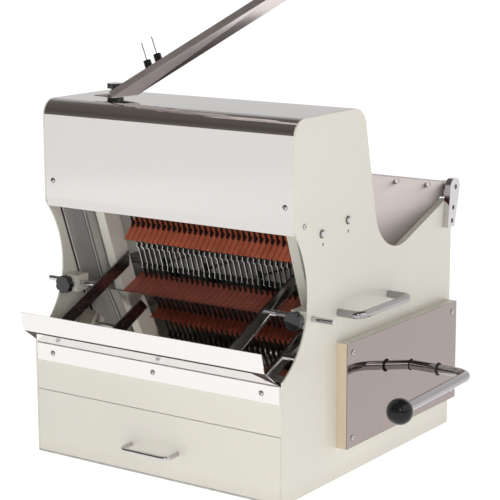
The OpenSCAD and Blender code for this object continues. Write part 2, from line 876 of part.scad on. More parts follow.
// Outline of a loop round both pulleys, at the radii ra (crank) and rb (motor)
function belt_loop(ra, rb) =
  let (d = [motor_at - crank_y, motor_z - crank_z], a = atan2(d[1], d[0]), b = acos((ra - rb) / norm(d)))
  concat(arc([crank_y, crank_z], ra, a + b, a + 360 - b), arc([motor_at, motor_z], rb, a - b, a + b));

module drive_belt() color(black) place() difference() {
  along_x(-belt_x - belt_w / 2 + run, -belt_x + belt_w / 2 - run)
    polygon(belt_loop(pulley_d / 2, pinion_d / 2));
  along_x(-belt_x - belt_w, -belt_x + belt_w)
    polygon(belt_loop((pulley_d / 2 - belt_t + run) / cos(belt_chord),
      (pinion_d / 2 - belt_t + run) / cos(belt_chord)));
}

// Half angle of one chord of the belt's round stretches
belt_chord = 360 / arc_steps / 2;

// Feed lever

module at_lever() translate([0, lever_at, lever_z]) children();

// Directions of the lever rod: Z along the shaft, outwards, and X to the back
module along_shaft() place() at_lever() rotate([90, 0, 90]) children();

// The lever arm's own directions, from the middle of the elbow
module along_arm() translate([-elbow_r, 0, arm_at - elbow_r]) rotate([0, arm_lean - 90, 0])
  translate([elbow_r, 0, 0])
  children();

module feed_lever() color(chrome) along_shaft() {
  translate([0, 0, run - in_x]) cylinder(d = lever_d, h = in_x - run + arm_at - elbow_r);
  translate([-elbow_r, 0, arm_at - elbow_r]) rotate([90, 0, 0]) rotate_extrude(angle = 90 - arm_lean)
    translate([elbow_r, 0]) circle(d = lever_d - 2 * elbow_draw);
  along_arm() cylinder(d = lever_d, h = arm_l - elbow_r);
  translate([0, 0, cam_x]) linear_extrude(cam_t) polygon(concat(
    arc([0, 0], lever_d, 90, 270 - cam_half), arc([0, 0], cam_r, -90 - cam_half, -90 + cam_half),
    arc([0, 0], lever_d, -90 + cam_half, 90)));
}

module lever_ball() color(black) along_shaft() along_arm()
  translate([0, 0, arm_l - elbow_r]) rotate([180, 0, 0])
  rotate_extrude() difference() {
    circle(d = ball_d);
    translate([-ball_d, -ball_d]) square([ball_d, 2 * ball_d]);
    square([lever_d / 2 + snug, ball_d]);
  }

module lever_ring() color(black) place() at_lever() translate([ring_x, 0, 0]) rotate([0, 90, 0])
  rotate_extrude() translate([lever_d / 2 + ring_d / 2, 0]) circle(d = ring_d);

// Stops of the cam: it swings by lever_range between the two pins
module stop_pins() color(grey) place() at_lever()
  for (a = [stop_a + cam_half - 90, -90 - cam_half - lever_range - stop_a])
  bar_x(stop_d, half_w, cam_x + cam_t, stop_r * cos(a), stop_r * sin(a));

// Angle between the cam's edge and the middle of a stop pin that it rests against
stop_a = asin((stop_d / 2 + run) / stop_r);

module lever_bushes() color([0.75, 0.6, 0.3]) place() at_lever() both() difference() {
  union() {
    bar_x(bush_d, in_x - bush_t, half_w, 0, 0);
    bar_x(bush_flange, in_x - bush_t, in_x, 0, 0);
  }
  bar_x(lever_d + 2 * run, in_x - bush_t - over, half_w + over, 0, 0);
}

module pusher_fingers() color(steel) place() at_lever() rotate([swing_a, 0, 0]) both() for (i = finger_x)
  translate([i * pitch, 0, 0]) difference() {
    union() {
      bar_x(finger_hub, -finger_hub_w / 2, finger_hub_w / 2, 0, 0);
      along_x(-finger_t / 2, finger_t / 2) polygon(round_loop([
        [-finger_w / 2, 0, 0], [finger_w / 2, 0, 0],
        [finger_w / 2, finger_r, finger_w / 3], [-finger_w / 2, finger_r, finger_w / 3]]));
    }
    bar_x(lever_d + 2 * snug, -finger_hub_w, finger_hub_w, 0, 0);
  }

// Side cover

module cover_frame() color(cream) place() difference() {
  block([half_w, half_w + cover_h], [cover_y0, cover_end], [cover_z0, cover_z1]);
  difference() {
    block([half_w - over, half_w + cover_h + over], [cover_y0 + cover_wall, cover_end - cover_wall],
      [cover_z0 + cover_wall, cover_z1 - cover_wall]);
    cover_corners() cylinder(d = cover_lug, h = 2 * cover_h);
  }
  cover_corners() translate([0, 0, cover_h + cover_t]) screw_hole();
}

module cover_corners() for (y = [cover_y0 + cover_inset, cover_end - cover_inset])
  for (z = [cover_z0 + cover_inset, cover_z1 - cover_inset])
    translate([half_w, y, z]) rotate([0, 90, 0]) children();

module side_cover() color(steel) place() difference() {
  block([half_w + cover_h, half_w + cover_h + cover_t], [cover_y0, cover_end], [cover_z0, cover_z1]);
  bar_x(lever_d + 2 * over, half_w, half_w + 2 * cover_h, lever_at, lever_z);
  cover_corners() translate([0, 0, cover_h + cover_t]) screw_hole();
}

// Loading flap

module hinge_brackets() color(chrome) place() both() difference() {
  along_x(half_w, half_w + ear_t) polygon(round_loop([
    [ear_foot_y0, ear_foot_z, 0], [ear_foot_y1, ear_foot_z, 0],
    [ear_top_y1, ear_top_z, ear_top_r], [ear_top_y0, ear_top_z, ear_top_r]]));
  bar_x(pin_d + 2 * snug, half_w - over, half_w + ear_t + over, pin_at, pin_z);
  translate([half_w + ear_t, 0, 0]) ear_screw_places() ear_hole();
}

module ear_hole() {
  translate([0, 0, -ear_t - over]) cylinder(d = screw_d + 2 * snug, h = ear_t + 2 * over);
  translate([0, 0, -screw_h - snug]) cylinder(d = screw_head + 2 * snug, h = screw_h + over);
}

module flap_pin() color(grey) place() bar_x(pin_d, -half_w - ear_t, half_w + ear_t, pin_at, pin_z);

module loading_flap() color(steel) place() difference() {
  union() {
    bar_x(tube_d, -flap_at, flap_at, pin_at, pin_z);
    block([-flap_at, flap_at], [pin_at - flap_off, pin_at - flap_off + flap_t],
      [flap_low, pin_z + flap_rise]);
    block([-flap_at, flap_at], [pin_at - flap_off, pin_at],
      [pin_z + flap_rise - flap_t, pin_z + flap_rise]);
    both() block([flap_at - knuckle_t, in_x - knuckle_t], [pin_at - flap_off, pin_at + tube_d / 2],
      [pin_z - knuckle_h, pin_z + flap_rise]);
    both() for (x = flap_screw_x)
      bar_y(screw_head, x, pin_at - flap_off - screw_h, pin_at, pin_z + flap_screw_up);
  }
  bar_x(pin_d + 2 * run, -in_x, in_x, pin_at, pin_z);
}

// Handles

module carry_handle() translate([half_w, (grip_y0 + grip_y1) / 2, grip_z]) rotate([90, 0, 90]) {
  bow(grip_d, grip_y1 - grip_y0, grip_out, handle_elbow);
}

module right_carry_handle() color(chrome) place() carry_handle();

module left_carry_handle() color(chrome) place() mirror([1, 0, 0]) carry_handle();

// Drawer

module drawer_box() color(steel) place() difference() {
  block([-in_x + drawer_side, in_x - drawer_side], [panel_t, drawer_d], [pan_t + runner_h + run, drawer_h]);
  block([-in_x + drawer_side + drawer_wall, in_x - drawer_side - drawer_wall],
    [panel_t + drawer_wall, drawer_d - drawer_wall],
    [pan_t + runner_h + run + drawer_wall, drawer_h + over]);
}

module drawer_front() color(cream) place()
  block([-in_x + drawer_gap, in_x - drawer_gap], [0, panel_t],
    [pan_t + drawer_gap, drawer_top - drawer_gap]);

module drawer_handle() color(chrome) place() translate([0, 0, pull_z]) rotate([90, 0, 0])
  bow(pull_d, 2 * pull_x, pull_out, handle_elbow);

module drawer_runners() color(grey) place() both()
  block([in_x - runner_w, in_x], [panel_t + drawer_gap, drawer_d], [pan_t, pan_t + runner_h]);

// Loaf guides

module rod_clamp() difference() {
  block([in_x - clamp_w, in_x], [clamp_y0, clamp_y1], [rod_z - clamp_h / 2, rod_z + clamp_h / 2]);
  bar_x(rod_d + 2 * run, in_x - clamp_w - over, in_x + over, rod_y, rod_z);
  bar_y(stud_d + 2 * run, in_x - clamp_w / 2, clamp_y0 - over, rod_y, rod_z);
}

module right_rod_clamp() color(cream) place() rod_clamp();

module left_rod_clamp() color(cream) place() mirror([1, 0, 0]) rod_clamp();

module loaf_guide() {
  slope_h = guide_h / cos(deck_slope);
  rise = (guide_y1 - guide_y0) * deck_rise;
  along_x(guide_at, guide_at + guide_t) polygon([
    [guide_y0, guide_top_z - slope_h], [guide_y1, guide_top_z - slope_h + rise],
    [guide_y1, guide_top_z + rise], [guide_y0, guide_top_z]]);
  bar_x(rod_d, guide_at + guide_t, rod_tip, rod_y, rod_z);
}

module right_guide() color(mirror_steel) place() loaf_guide();

module left_guide() color(mirror_steel) place() mirror([1, 0, 0]) loaf_guide();

module clamp_knob() translate([in_x - clamp_w / 2, knob_y, rod_z]) rotate([90, 0, 0]) {
  lobed_knob(knob_d, knob_h);
  translate([0, 0, knob_y - rod_y + rod_d / 2 + run])
    cylinder(d = stud_d, h = rod_y - rod_d / 2 - run - knob_y + knob_h / 2);
}

module right_clamp_knob() color(black) place() clamp_knob();

module left_clamp_knob() color(black) place() mirror([1, 0, 0]) clamp_knob();

// Switches on the left plate, and the cable gland at the back

module at_box() translate([-half_w, box_y + box_w / 2, box_z + box_h / 2]) rotate([0, -90, 0]) children();

module button_places() for (s = [-1, 1]) translate([s * button_gap, 0, box_d]) children();

module switch_box() color(grey) place() at_box() difference() {
  union() {
    translate([-box_h / 2, -box_w / 2, 0]) cube([box_h, box_w, box_d]);
    button_places() cylinder(d = button_collar, h = button_travel);
  }
  translate([-box_h / 2 + box_wall, -box_w / 2 + box_wall, -over])
    cube([box_h - 2 * box_wall, box_w - 2 * box_wall, box_d - box_wall + over]);
  button_places() translate([0, 0, -box_d]) cylinder(d = button_d + 2 * run, h = 2 * box_d);
}

module push_button(s) place() at_box() translate([s * button_gap, 0, box_d - button_h / 2])
  cylinder(d = button_d, h = button_h + button_travel);

module start_button() color("green") push_button(1);

module stop_button() color("red") push_button(-1);

module cable_gland() color(black) place()
  translate([gland_x, body_d, gland_z]) rotate([-90, 0, 0]) difference() {
  union() {
    cylinder(d = gland_hex, h = gland_l / 2, $fn = 6);
    translate([0, 0, -panel_t - gland_l / 2]) cylinder(d = gland_d, h = gland_l + panel_t + gland_l / 2);
  }
  translate([0, 0, -panel_t - gland_l]) cylinder(d = gland_bore, h = 3 * gland_l);
}

// Bagging scoop on the hood

module at_scoop() translate([-scoop_at, scoop_y, hood_top]) rotate([0, 0, -scoop_turn]) children();

module scoop_stud() color(grey) place() translate([-scoop_at, scoop_y, hood_top]) {
  cylinder(d = foot_pad, h = foot_h);
  translate([0, 0, -hood_t - foot_h]) 
    cylinder(d = scoop_stud_d, h = hood_t + 2 * foot_h + knob_lift + scoop_knob_h);
  translate([0, 0, -hood_t - foot_h]) cylinder(d = 2 * scoop_stud_d, h = foot_h, $fn = 6);
}

// Plan of the trough between two places along it, drawn in by a wall
function trough_outline(x0, x1, wall) =
  let (grow = (scoop_w1 - scoop_w0) / scoop_l / 2, w = scoop_w0 / 2 - wall)
  [[x0, -w - x0 * grow], [x1, -w - x1 * grow], [x1, w + x1 * grow], [x0, w + x0 * grow]];

module bag_scoop() color(steel) place() at_scoop() translate([0, 0, foot_h + run]) {
  difference() {
    block([-scoop_foot / 2, (scoop_foot + scoop_t) / 2],
      [2 * scoop_t - scoop_w0 / 2, scoop_w0 / 2 - 2 * scoop_t], [0, scoop_t]);
    translate([0, 0, -over]) cylinder(d = scoop_stud_d + 2 * run, h = scoop_t + 2 * over);
  }
  translate([scoop_foot / 2, 0, scoop_t / 2]) rotate([0, -scoop_slope, 0]) {
    difference() {
      linear_extrude(scoop_edge) polygon(trough_outline(0, scoop_l, 0));
      translate([0, 0, scoop_t]) linear_extrude(scoop_edge)
        polygon(trough_outline(-over, scoop_l + over, scoop_t));
    }
    for (t = clip_at) translate([t, -scoop_w0 / 3, 0]) {
      cylinder(d = clip_nut_d, h = clip_nut_h + scoop_t);
      translate([0, 0, clip_nut_h]) cylinder(d = clip_wire_d, h = clip_wire_h);
    }
  }
}

module scoop_knob() color(black) place()
  translate([-scoop_at, scoop_y, hood_top + foot_h + scoop_t + 2 * run])
  difference() {
    union() {
      cylinder(d = scoop_knob_d / 2, h = knob_lift);
      translate([0, 0, knob_lift]) lobed_knob(scoop_knob_d, scoop_knob_h);
    }
    translate([0, 0, -over]) cylinder(d = scoop_stud_d + 2 * run, h = knob_lift + scoop_knob_h);
  }

// Fasteners

module casing_screws() color(chrome) place() {
  hood_screw_places() screw();
  both() translate([half_w, 0, 0]) temple_place() screw();
  bracket_places() screw();
  cover_corners() translate([0, 0, cover_h + cover_t]) screw();
}

module comb_bolts() color(chrome) place() both() translate([half_w, 0, 0]) comb_bolt_places() bolt();

module hinge_screws() color(grey) place() both()
  translate([half_w + ear_t - screw_h, 0, 0]) ear_screw_places() {
  cylinder(d = screw_head, h = screw_h);
  translate([0, 0, -ear_t - plate_t]) cylinder(d = screw_d, h = ear_t + plate_t + screw_h / 2);
}

base_pan();
left_side_plate();
right_side_plate();
front_panel();
rear_panel();
hood();
chute_tray();
chute_bracket();
comb_posts();
comb_rails();
upper_comb();
lower_comb();
side_liners();
loaf_bed();
hinge_brackets();
flap_pin();
left_carry_handle();
right_carry_handle();
cover_frame();
side_cover();
left_rod_clamp();
right_rod_clamp();
crank_bearings();
lever_bushes();
stop_pins();
motor();
motor_mount();
drive_belt();
frame_guides();
drawer_runners();
switch_box();
cable_gland();
scoop_stud();
casing_screws();
comb_bolts();
hinge_screws();
drawer_box();
drawer_front();
drawer_handle();
left_guide();
right_guide();
left_clamp_knob();
right_clamp_knob();
feed_lever();
lever_ball();
lever_ring();
pusher_fingers();
loading_flap();
front_blade_frame();
front_blades();
rear_blade_frame();
rear_blades();
crankshaft();
motor_pulley();
front_con_rods();
rear_con_rods();
bag_scoop();
scoop_knob();
start_button();
stop_button();
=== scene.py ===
"""Bench-top bread slicer: finishes, blades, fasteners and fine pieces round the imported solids."""

import math

import bmesh
import bpy
import numpy as np
from bpy.props import FloatProperty, FloatVectorProperty, IntProperty, PointerProperty
from mathutils import Matrix, Vector


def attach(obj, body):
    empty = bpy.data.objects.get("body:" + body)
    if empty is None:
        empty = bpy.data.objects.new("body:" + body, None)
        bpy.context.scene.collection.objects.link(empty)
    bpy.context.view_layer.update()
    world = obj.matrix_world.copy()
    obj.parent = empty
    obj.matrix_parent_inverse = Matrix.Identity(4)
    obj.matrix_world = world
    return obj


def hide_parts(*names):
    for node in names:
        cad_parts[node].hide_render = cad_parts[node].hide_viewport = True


bl_info = {
    "name": "Bench-top bread slicer",
    "version": (1, 0, 0),
    "blender": (4, 5, 0),
    "location": "View3D > Sidebar > Slicer",
    "description": "Dresses the packed bread slicer and sets up its studio",
    "category": "Object",
}

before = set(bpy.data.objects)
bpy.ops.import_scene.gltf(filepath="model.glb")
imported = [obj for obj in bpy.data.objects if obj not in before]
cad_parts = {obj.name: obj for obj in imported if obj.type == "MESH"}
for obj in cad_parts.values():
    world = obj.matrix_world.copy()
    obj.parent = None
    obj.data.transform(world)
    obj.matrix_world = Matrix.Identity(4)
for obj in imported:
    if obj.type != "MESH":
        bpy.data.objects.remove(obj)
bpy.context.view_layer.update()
MM = 0.001

# Blade plane: a point on the middle blade at the bed, and the lean of the blades
BLADE_Y = -83.5 * MM
BLADE_Z = 330 * MM
BLADE_LEAN = math.radians(19.5)

# Scallops, in mm along a blade: the first point, and the stretch where the ground strip takes its bright
# finish; above and below it the strip keeps the dark blade colour as painted shade under the hood
FIRST_POINT = -2.0
LIT_EDGE_LOW = -4
LIT_EDGE_HIGH = 53
END_SPACE = 2.0

# Shares of the pitch where the hollow of a scallop begins and ends
HOLLOW_START = 0.17
HOLLOW_END = 0.93

# Front of the base, fold of the tray at its front, and the slope of the strip in front of it
FRONT_Y = -293 * MM
TRAY_Z = 214 * MM
STRIP_COS = 0.805
STRIP_SIN = 0.594

# Corners of the dark line of painted shade at the bracket's fold, forward and up, and half its length, in mm
CREASE = ((-1.2, 210.6), (-1.9, 210.6), (-1.9, 210.95), (-1.2, 210.95))
CREASE_HALF = 268.5

# Rods of the loaf guides, and how far from the axis their faces lie
ROD_Y = -199 * MM
ROD_Z = 310 * MM
ROD_REACH = 5.6 * MM

# Beads of the liners, in mm on the blade plane: front, back, upper end, and whether the strip is dark; dark
# strips are painted shade, the others a painted highlight
BEADS = (
    (-87.0, -83.0, 170, 1),
    (-82.9, -81.4, 170, 0),
    (-33.2, -32.0, 134, 1),
    (-31.9, -29.6, 134, 0),
    (-29.5, -27.8, 134, 1),
)
BEAD_FOOT = -29
BEAD_WALL = 271
BEAD_DARK = 270.2
BEAD_BRIGHT = 269.2

# Slots under the comb bolts, in mm: places on the plate, and half the width and length
SLOT_PLACES = ((-168.1, 435.2), (-85.7, 445.4))
SLOT_WALL = 275
SLOT_HALF = 1.6 * MM
SLOT_LONG = 3.2 * MM
SLOT_DEPTHS = (-0.2 * MM, 0.12 * MM)
SLOT_SIDES = 20

# Scoop: its pivot, turn, foot and rise, and the places of the clips on it
SCOOP_PIVOT = (-165 * MM, -181 * MM, 664.8 * MM)
SCOOP_TURN = math.radians(-12)
SCOOP_FOOT = (26 * MM, 0, 0)
SCOOP_RISE = math.radians(-25.5)
CLIP_X = (112 * MM, 142 * MM)
CLIP_Y = -20.67 * MM
CLIP_Z = 1.4 * MM
NUT_REACH = 8 * MM
WIRE_REACH = 1.6 * MM

# Heights of the fastener heads, and the edge radius of the buttons
SCREW_HEAD = 2.4 * MM
BOLT_HEAD = 5.0 * MM
BUTTON_ROUND = 1.6 * MM

# Vertices closer than this are one, in metres, and edges that turn more than this are sharp, in degrees
SEAM = 2e-6
SHARP = 35.0

# Lights: place and size in metres
KEY_LIGHT = ((2.3, -2.75, 2.1), 1.2)
FILL_LIGHT = ((-2.2, -2.6, 0.9), 1.6)
FRONT_LIGHT = ((1.75, -2.75, 0.72), 1.0)
LIGHT_AIM = (0, 0, 0.35)

# Boards: middle, width and height in metres
DARK_BOARD = ((-2.2, -1.3, 0.46), 1.8, 0.9)
WHITE_BOARD = ((1.2, -0.05, 0.95), 1.2, 1.1)

# Brightness of the room by height, towards the front and towards the back: place and level
ROOM = ((0.0, 0.95), (1.0, 0.16), (0.50, 0.95), (0.56, 0.16), (0.70, 0.10))
BACKDROP = ((0.0, 0.95), (1.0, 0.16), (0.77, 0.88), (0.85, 0.26), (0.92, 0.12))

# Camera fitted to the photograph
CAMERA_PLACE = (1.8147, -2.6044, 1.0180)
CAMERA_PITCH = math.radians(90 - 11.619)
CAMERA_ROLL = math.radians(-0.189)
CAMERA_YAW = math.radians(34.775)
CAMERA_LENS = 123.716
SENSOR = 36.0


class SlicerColours(bpy.types.PropertyGroup):
    """Colours of the finishes."""

    cream: FloatVectorProperty(
        name="Cream enamel", description="Paint of the casing", subtype="COLOR",
        default=(0.705, 0.684, 0.608), min=0, max=1)
    stainless: FloatVectorProperty(
        name="Stainless", description="Brushed sheet of hood, cover and flap", subtype="COLOR",
        default=(0.80, 0.785, 0.765), min=0, max=1)
    chrome: FloatVectorProperty(
        name="Chrome", description="Handles, lever and bright screws", subtype="COLOR",
        default=(0.60, 0.585, 0.60), min=0, max=1)
    phenolic: FloatVectorProperty(
        name="Comb", description="Machined laminate of the combs", subtype="COLOR",
        default=(0.50, 0.118, 0.060), min=0, max=1)
    black: FloatVectorProperty(
        name="Black moulding", description="Knobs and lever ball", subtype="COLOR",
        default=(0.012, 0.012, 0.013), min=0, max=1)


class SlicerSizes(bpy.types.PropertyGroup):
    """Sizes of the fine pieces."""

    tooth_pitch: FloatProperty(
        name="Tooth pitch", description="Distance between the scallops of a blade", subtype="DISTANCE",
        default=45.2 * MM, min=6 * MM, max=60 * MM)
    tooth_depth: FloatProperty(
        name="Tooth depth", description="Depth of the scallops of a blade", subtype="DISTANCE",
        default=3.8 * MM, min=0.5 * MM, max=5 * MM)
    grind: FloatProperty(
        name="Ground edge", description="Width of the ground strip along a blade's edges", subtype="DISTANCE",
        default=1.3 * MM, min=0.3 * MM, max=3 * MM)
    knob_round: FloatProperty(
        name="Knob rounding", description="Edge radius of the moulded knobs", subtype="DISTANCE",
        default=2.2 * MM, min=0.2 * MM, max=4 * MM)
    screw_sides: IntProperty(
        name="Screw sides", description="Facets round a screw head", default=28, min=12, max=64)


class StudioSettings(bpy.types.PropertyGroup):
    """Light and floor of the studio."""

    key_power: FloatProperty(
        name="Key light", description="Power of the main soft light", subtype="POWER",
        default=14, min=0, max=1000)
    fill_power: FloatProperty(
        name="Fill light", description="Power of the light from the left", subtype="POWER",
        default=6, min=0, max=1000)
    front_power: FloatProperty(
        name="Front light", description="Power of the low light beside the camera", subtype="POWER",
        default=30, min=0, max=1000)
    floor: FloatVectorProperty(
        name="Floor", description="Colour of the floor", subtype="COLOR",
        default=(0.97, 0.97, 0.965), min=0, max=1)


def colours():
    return bpy.context.scene.slicer_colours


def sizes():
    return bpy.context.scene.slicer_sizes


def studio():
    return bpy.context.scene.slicer_studio


class Wire:
    """A socket's value; arithmetic on it adds Math nodes."""

    def __init__(self, shop, socket):
        self.shop = shop
        self.socket = socket

    def maths(self, operation, first, second=0.0):
        return self.shop.node("ShaderNodeMath", {"operation": operation}, {0: first, 1: second})

    def __add__(self, other):
        return self.maths("ADD", self, other)

    def __sub__(self, other):
        return self.maths("SUBTRACT", self, other)

    def __mul__(self, other):
        return self.maths("MULTIPLY", self, other)

    def at_most(self, other):
        return self.maths("MINIMUM", self, other)

    def at_least(self, other):
        return self.maths("MAXIMUM", self, other)

    def within(self):
        return self.at_most(1.0).at_least(0.0)

    def wave(self):
        return self.maths("SINE", self)

    def size(self):
        return self.maths("ABSOLUTE", self)


class Shop:
    """Makes the nodes of one material or world."""

    def __init__(self, tree):
        self.tree = tree
        tree.nodes.clear()

    def node(self, kind, settings=None, sockets=None, output=0):
        """Adds a node: its settings first, then the values or links of its sockets."""
        made = self.tree.nodes.new(kind)
        for key, value in (settings or {}).items():
            if key == "stops":
                ramp = made.color_ramp
                for place, shade in value[2:]:
                    ramp.elements.new(place).color = shade
                for element, (place, shade) in zip((ramp.elements[0], ramp.elements[-1]), value[:2]):
                    element.position = place
                    element.color = shade
            else:
                setattr(made, key, value)
        for key, value in (sockets or {}).items():
            if isinstance(value, Wire):
                self.tree.links.new(value.socket, made.inputs[key])
            else:
                made.inputs[key].default_value = value
        return Wire(self, made.outputs[output]) if made.outputs else None

    def place(self):
        """Place on the piece, in metres."""
        return self.node("ShaderNodeTexCoord", output="Object")

    def scaled(self, place, scale):
        return self.node("ShaderNodeVectorMath", {"operation": "MULTIPLY"}, {0: place, 1: scale})

    def along(self, place, axis):
        return self.node("ShaderNodeSeparateXYZ", None, {0: place}, output=axis)

    def noise(self, place, scale, detail=2.0, rough=0.5):
        return self.node(
            "ShaderNodeTexNoise", None,
            {"Vector": place, "Scale": scale, "Detail": detail, "Roughness": rough})

    def cells(self, place, scale):
        return self.node("ShaderNodeTexVoronoi", None, {"Vector": place, "Scale": scale})

    def mixed(self, share, first, second):
        """Colour between two colours."""
        return self.node(
            "ShaderNodeMix", {"data_type": "RGBA"}, {"Factor": share, 6: first, 7: second}, output=2)

    def band(self, value, low, high, to_low=0.0, to_high=1.0):
        """A value spread from one range to another, held at its ends."""
        return self.node(
            "ShaderNodeMapRange", None,
            {"Value": value, "From Min": low, "From Max": high, "To Min": to_low, "To Max": to_high})

    def bump(self, height, strength, distance, normal=None):
        sockets = {"Height": height, "Strength": strength, "Distance": distance}
        if normal is not None:
            sockets["Normal"] = normal
        return self.node("ShaderNodeBump", None, sockets)

    def rounded(self, radius):
        """Normal that turns round the edges of a solid."""
        return self.node("ShaderNodeBevel", {"samples": 4}, {"Radius": radius})

    def bent(self, normal, lean):
        """A normal that leans to one side."""
        normal = self.node("ShaderNodeVectorMath", {"operation": "ADD"}, {0: normal, 1: lean})
        return self.node("ShaderNodeVectorMath", {"operation": "NORMALIZE"}, {0: normal})

    def face_normal(self):
        return self.node("ShaderNodeNewGeometry", output="Normal")

    def surface(self, **sockets):
        named = {key.replace("_", " "): value for key, value in sockets.items()}
        shader = self.node("ShaderNodeBsdfPrincipled", None, named)
        self.node("ShaderNodeOutputMaterial", None, {"Surface": shader})


def tint(colour, share=1.0):
    """A colour with alpha, lighter or darker by a share."""
    return tuple(min(1.0, c * share) for c in colour) + (1.0,)


MADE = {}


def finish(name):
    """The material of that name, made once."""
    if name not in MADE:
        material = bpy.data.materials.new(name)
        material.use_nodes = True
        FINISHES[name](Shop(material.node_tree))
        MADE[name] = material
    return MADE[name]


def cream_enamel(shop):
    place = shop.place()
    cloud = shop.noise(place, 4.0, 3.0)
    fleck = shop.noise(place, 900.0, 1.0)
    soil = shop.band(shop.along(place, "Z"), 0.0, 0.03, 0.35, 0.0) * shop.noise(place, 60.0, 4.0)
    base = colours().cream
    coat = shop.mixed(shop.band(cloud, 0.3, 0.7), tint(base, 0.975), tint(base, 1.02))
    coat = shop.mixed((fleck - 0.5).size() * 0.10, coat, tint(base, 0.86))
    coat = shop.mixed(soil, coat, tint((0.45, 0.40, 0.32)))
    peel = shop.noise(place, 420.0, 2.0)
    shop.surface(
        Base_Color=coat,
        Roughness=shop.band(cloud, 0.3, 0.7, 0.30, 0.38) + soil * 0.3,
        Coat_Weight=0.25,
        Coat_Roughness=0.12,
        Normal=shop.bump(peel, 0.06, 0.0004, shop.rounded(0.0011)))


def shaded_frame_faces(shop):
    # Tan of painted shade for the cover frame's faces that face front and back
    place = shop.place()
    cloud = shop.noise(shop.scaled(place, (40.0, 40.0, 6.0)), 1.0, 3.0)
    shop.surface(
        Base_Color=shop.mixed(cloud, tint((0.56, 0.46, 0.32)), tint((0.66, 0.56, 0.42))),
        Roughness=shop.band(cloud, 0.3, 0.7, 0.38, 0.5), Normal=shop.rounded(0.0008))


def brushed(shop, grain, base, low, high, strength=0.05, edge=0.0006, bow=None, vary=0.06, top=None):
    """Sheet with a brushed grain.

    grain is how fine the marks are along each axis, bow the lean of the mirror image,
    and top the tone painted on a level face, as painted shade or light set by which way it faces.
    """
    place = shop.place()
    marks = shop.noise(shop.scaled(place, grain), 1.0, 3.0, 0.6)
    fine = shop.noise(shop.scaled(place, tuple(3 * g for g in grain)), 1.0, 2.0)
    smear = shop.noise(place, 7.0, 3.0)
    tone = shop.mixed(shop.band(marks, 0.3, 0.7), tint(base, 1 - vary), tint(base, 1 + vary / 2))
    # Level faces take the top tone: painted shade or light, set by which way the face looks
    if top is not None:
        level = shop.band(shop.along(shop.face_normal(), "Z"), 0.8, 1.0)
        tone = shop.mixed(level, tone, tint(base, top))
    rough = shop.band(marks * 0.6 + fine * 0.4, 0.3, 0.7, low, high) + (smear - 0.5) * 0.08
    facing = shop.bump(marks, strength, 0.0002, shop.rounded(edge))
    if bow is not None:
        facing = shop.bent(facing, bow)
    shop.surface(Base_Color=tone, Metallic=1.0, Roughness=rough.within(), Normal=facing)


def shaded(shares):
    """Stainless, darker by a share of each channel (lighter where a share is above one); the shares paint
    each sheet's light and shade into its colour.
    """
    return tuple(c * s for c, s in zip(colours().stainless, shares))


def hood_steel(shop):
    # The hood's level top is painted at a third of the brightness: painted shade for the dark room it mirrors
    base = shaded((0.83, 0.82, 0.82))
    brushed(shop, (9.0, 700.0, 700.0), base, 0.07, 0.10, 0.003, vary=0.012, top=0.34)


def cover_steel(shop):
    # Painted shade: the cover's stainless is about half as bright as the hood's
    base = shaded((0.43, 0.375, 0.37))
    brushed(shop, (700.0, 9.0, 600.0), base, 0.03, 0.05, 0.002, bow=(0.0, 0.0, 0.087), vary=0.02)


def flap_steel(shop):
    base = shaded((0.86, 0.80, 0.80))
    brushed(shop, (9.0, 600.0, 700.0), base, 0.36, 0.42, 0.004, bow=(1.30, 0.0, 0.62), vary=0.02)


def scoop_steel(shop):
    base = shaded((0.95, 0.88, 0.89))
    brushed(shop, (9.0, 60.0, 60.0), base, 0.30, 0.36, 0.003, bow=(0.35, -0.3, 0.3))


def bar_steel(shop):
    brushed(shop, (300.0, 12.0, 300.0), shaded((0.46, 0.47, 0.49)), 0.20, 0.30, 0.01)


def bed_steel(shop):
    place = shop.place()
    marks = shop.noise(shop.scaled(place, (300.0, 12.0, 300.0)), 1.0, 3.0)
    # Painted shade: the bed is near black towards the front, under the hood, and bright steel behind it
    hood_shade = shop.band(shop.along(place, "Y"), 0.09, 0.19)
    shop.surface(
        Base_Color=shop.mixed(hood_shade, tint(shaded((0.07, 0.07, 0.07))), tint(shaded((0.9, 0.86, 0.87)))),
        Metallic=1.0, Roughness=shop.band(marks, 0.3, 0.7, 0.34, 0.44))


def plain_steel(shop):
    brushed(shop, (300.0, 60.0, 300.0), colours().stainless, 0.24, 0.38)


def polished_lip(shop):
    # Painted light: the lip's stainless is made brighter than the stainless colour itself
    brushed(shop, (12.0, 500.0, 500.0), shaded((1.05, 1.05, 1.06)), 0.13, 0.17, 0.003, vary=0.02)


def mirror_steel(shop):
    place = shop.place()
    smear = shop.noise(place, 14.0, 4.0, 0.65)
    lines = shop.noise(shop.scaled(place, (900.0, 20.0, 20.0)), 1.0, 2.0)
    base = colours().stainless
    shop.surface(
        Base_Color=shop.mixed(shop.band(smear, 0.35, 0.7), tint(base, 1.08), tint(base, 1.0)),
        Metallic=1.0,
        Roughness=(shop.band(smear, 0.35, 0.75, 0.015, 0.045) + lines * 0.01).within(),
        Normal=shop.bump(lines, 0.004, 0.0001, shop.rounded(0.0005)))


def bright_chrome(shop, share=1.0):
    place = shop.place()
    smear = shop.noise(place, 30.0, 4.0, 0.6)
    pits = shop.band(shop.cells(place, 900.0), 0.0, 0.10, 1.0, 0.0) * shop.band(smear, 0.5, 0.7)
    base = colours().chrome
    shop.surface(
        Base_Color=shop.mixed(pits * 0.5, tint(base, share), tint(base, 0.55 * share)),
        Metallic=1.0,
        Roughness=(shop.band(smear, 0.3, 0.75, 0.035, 0.11) + pits * 0.2).within(),
        Normal=shop.rounded(0.0008))


def shaded_chrome(shop):
    # Chrome painted at 0.64 of its brightness: painted shade for the carry handles and the lever
    bright_chrome(shop, 0.64)


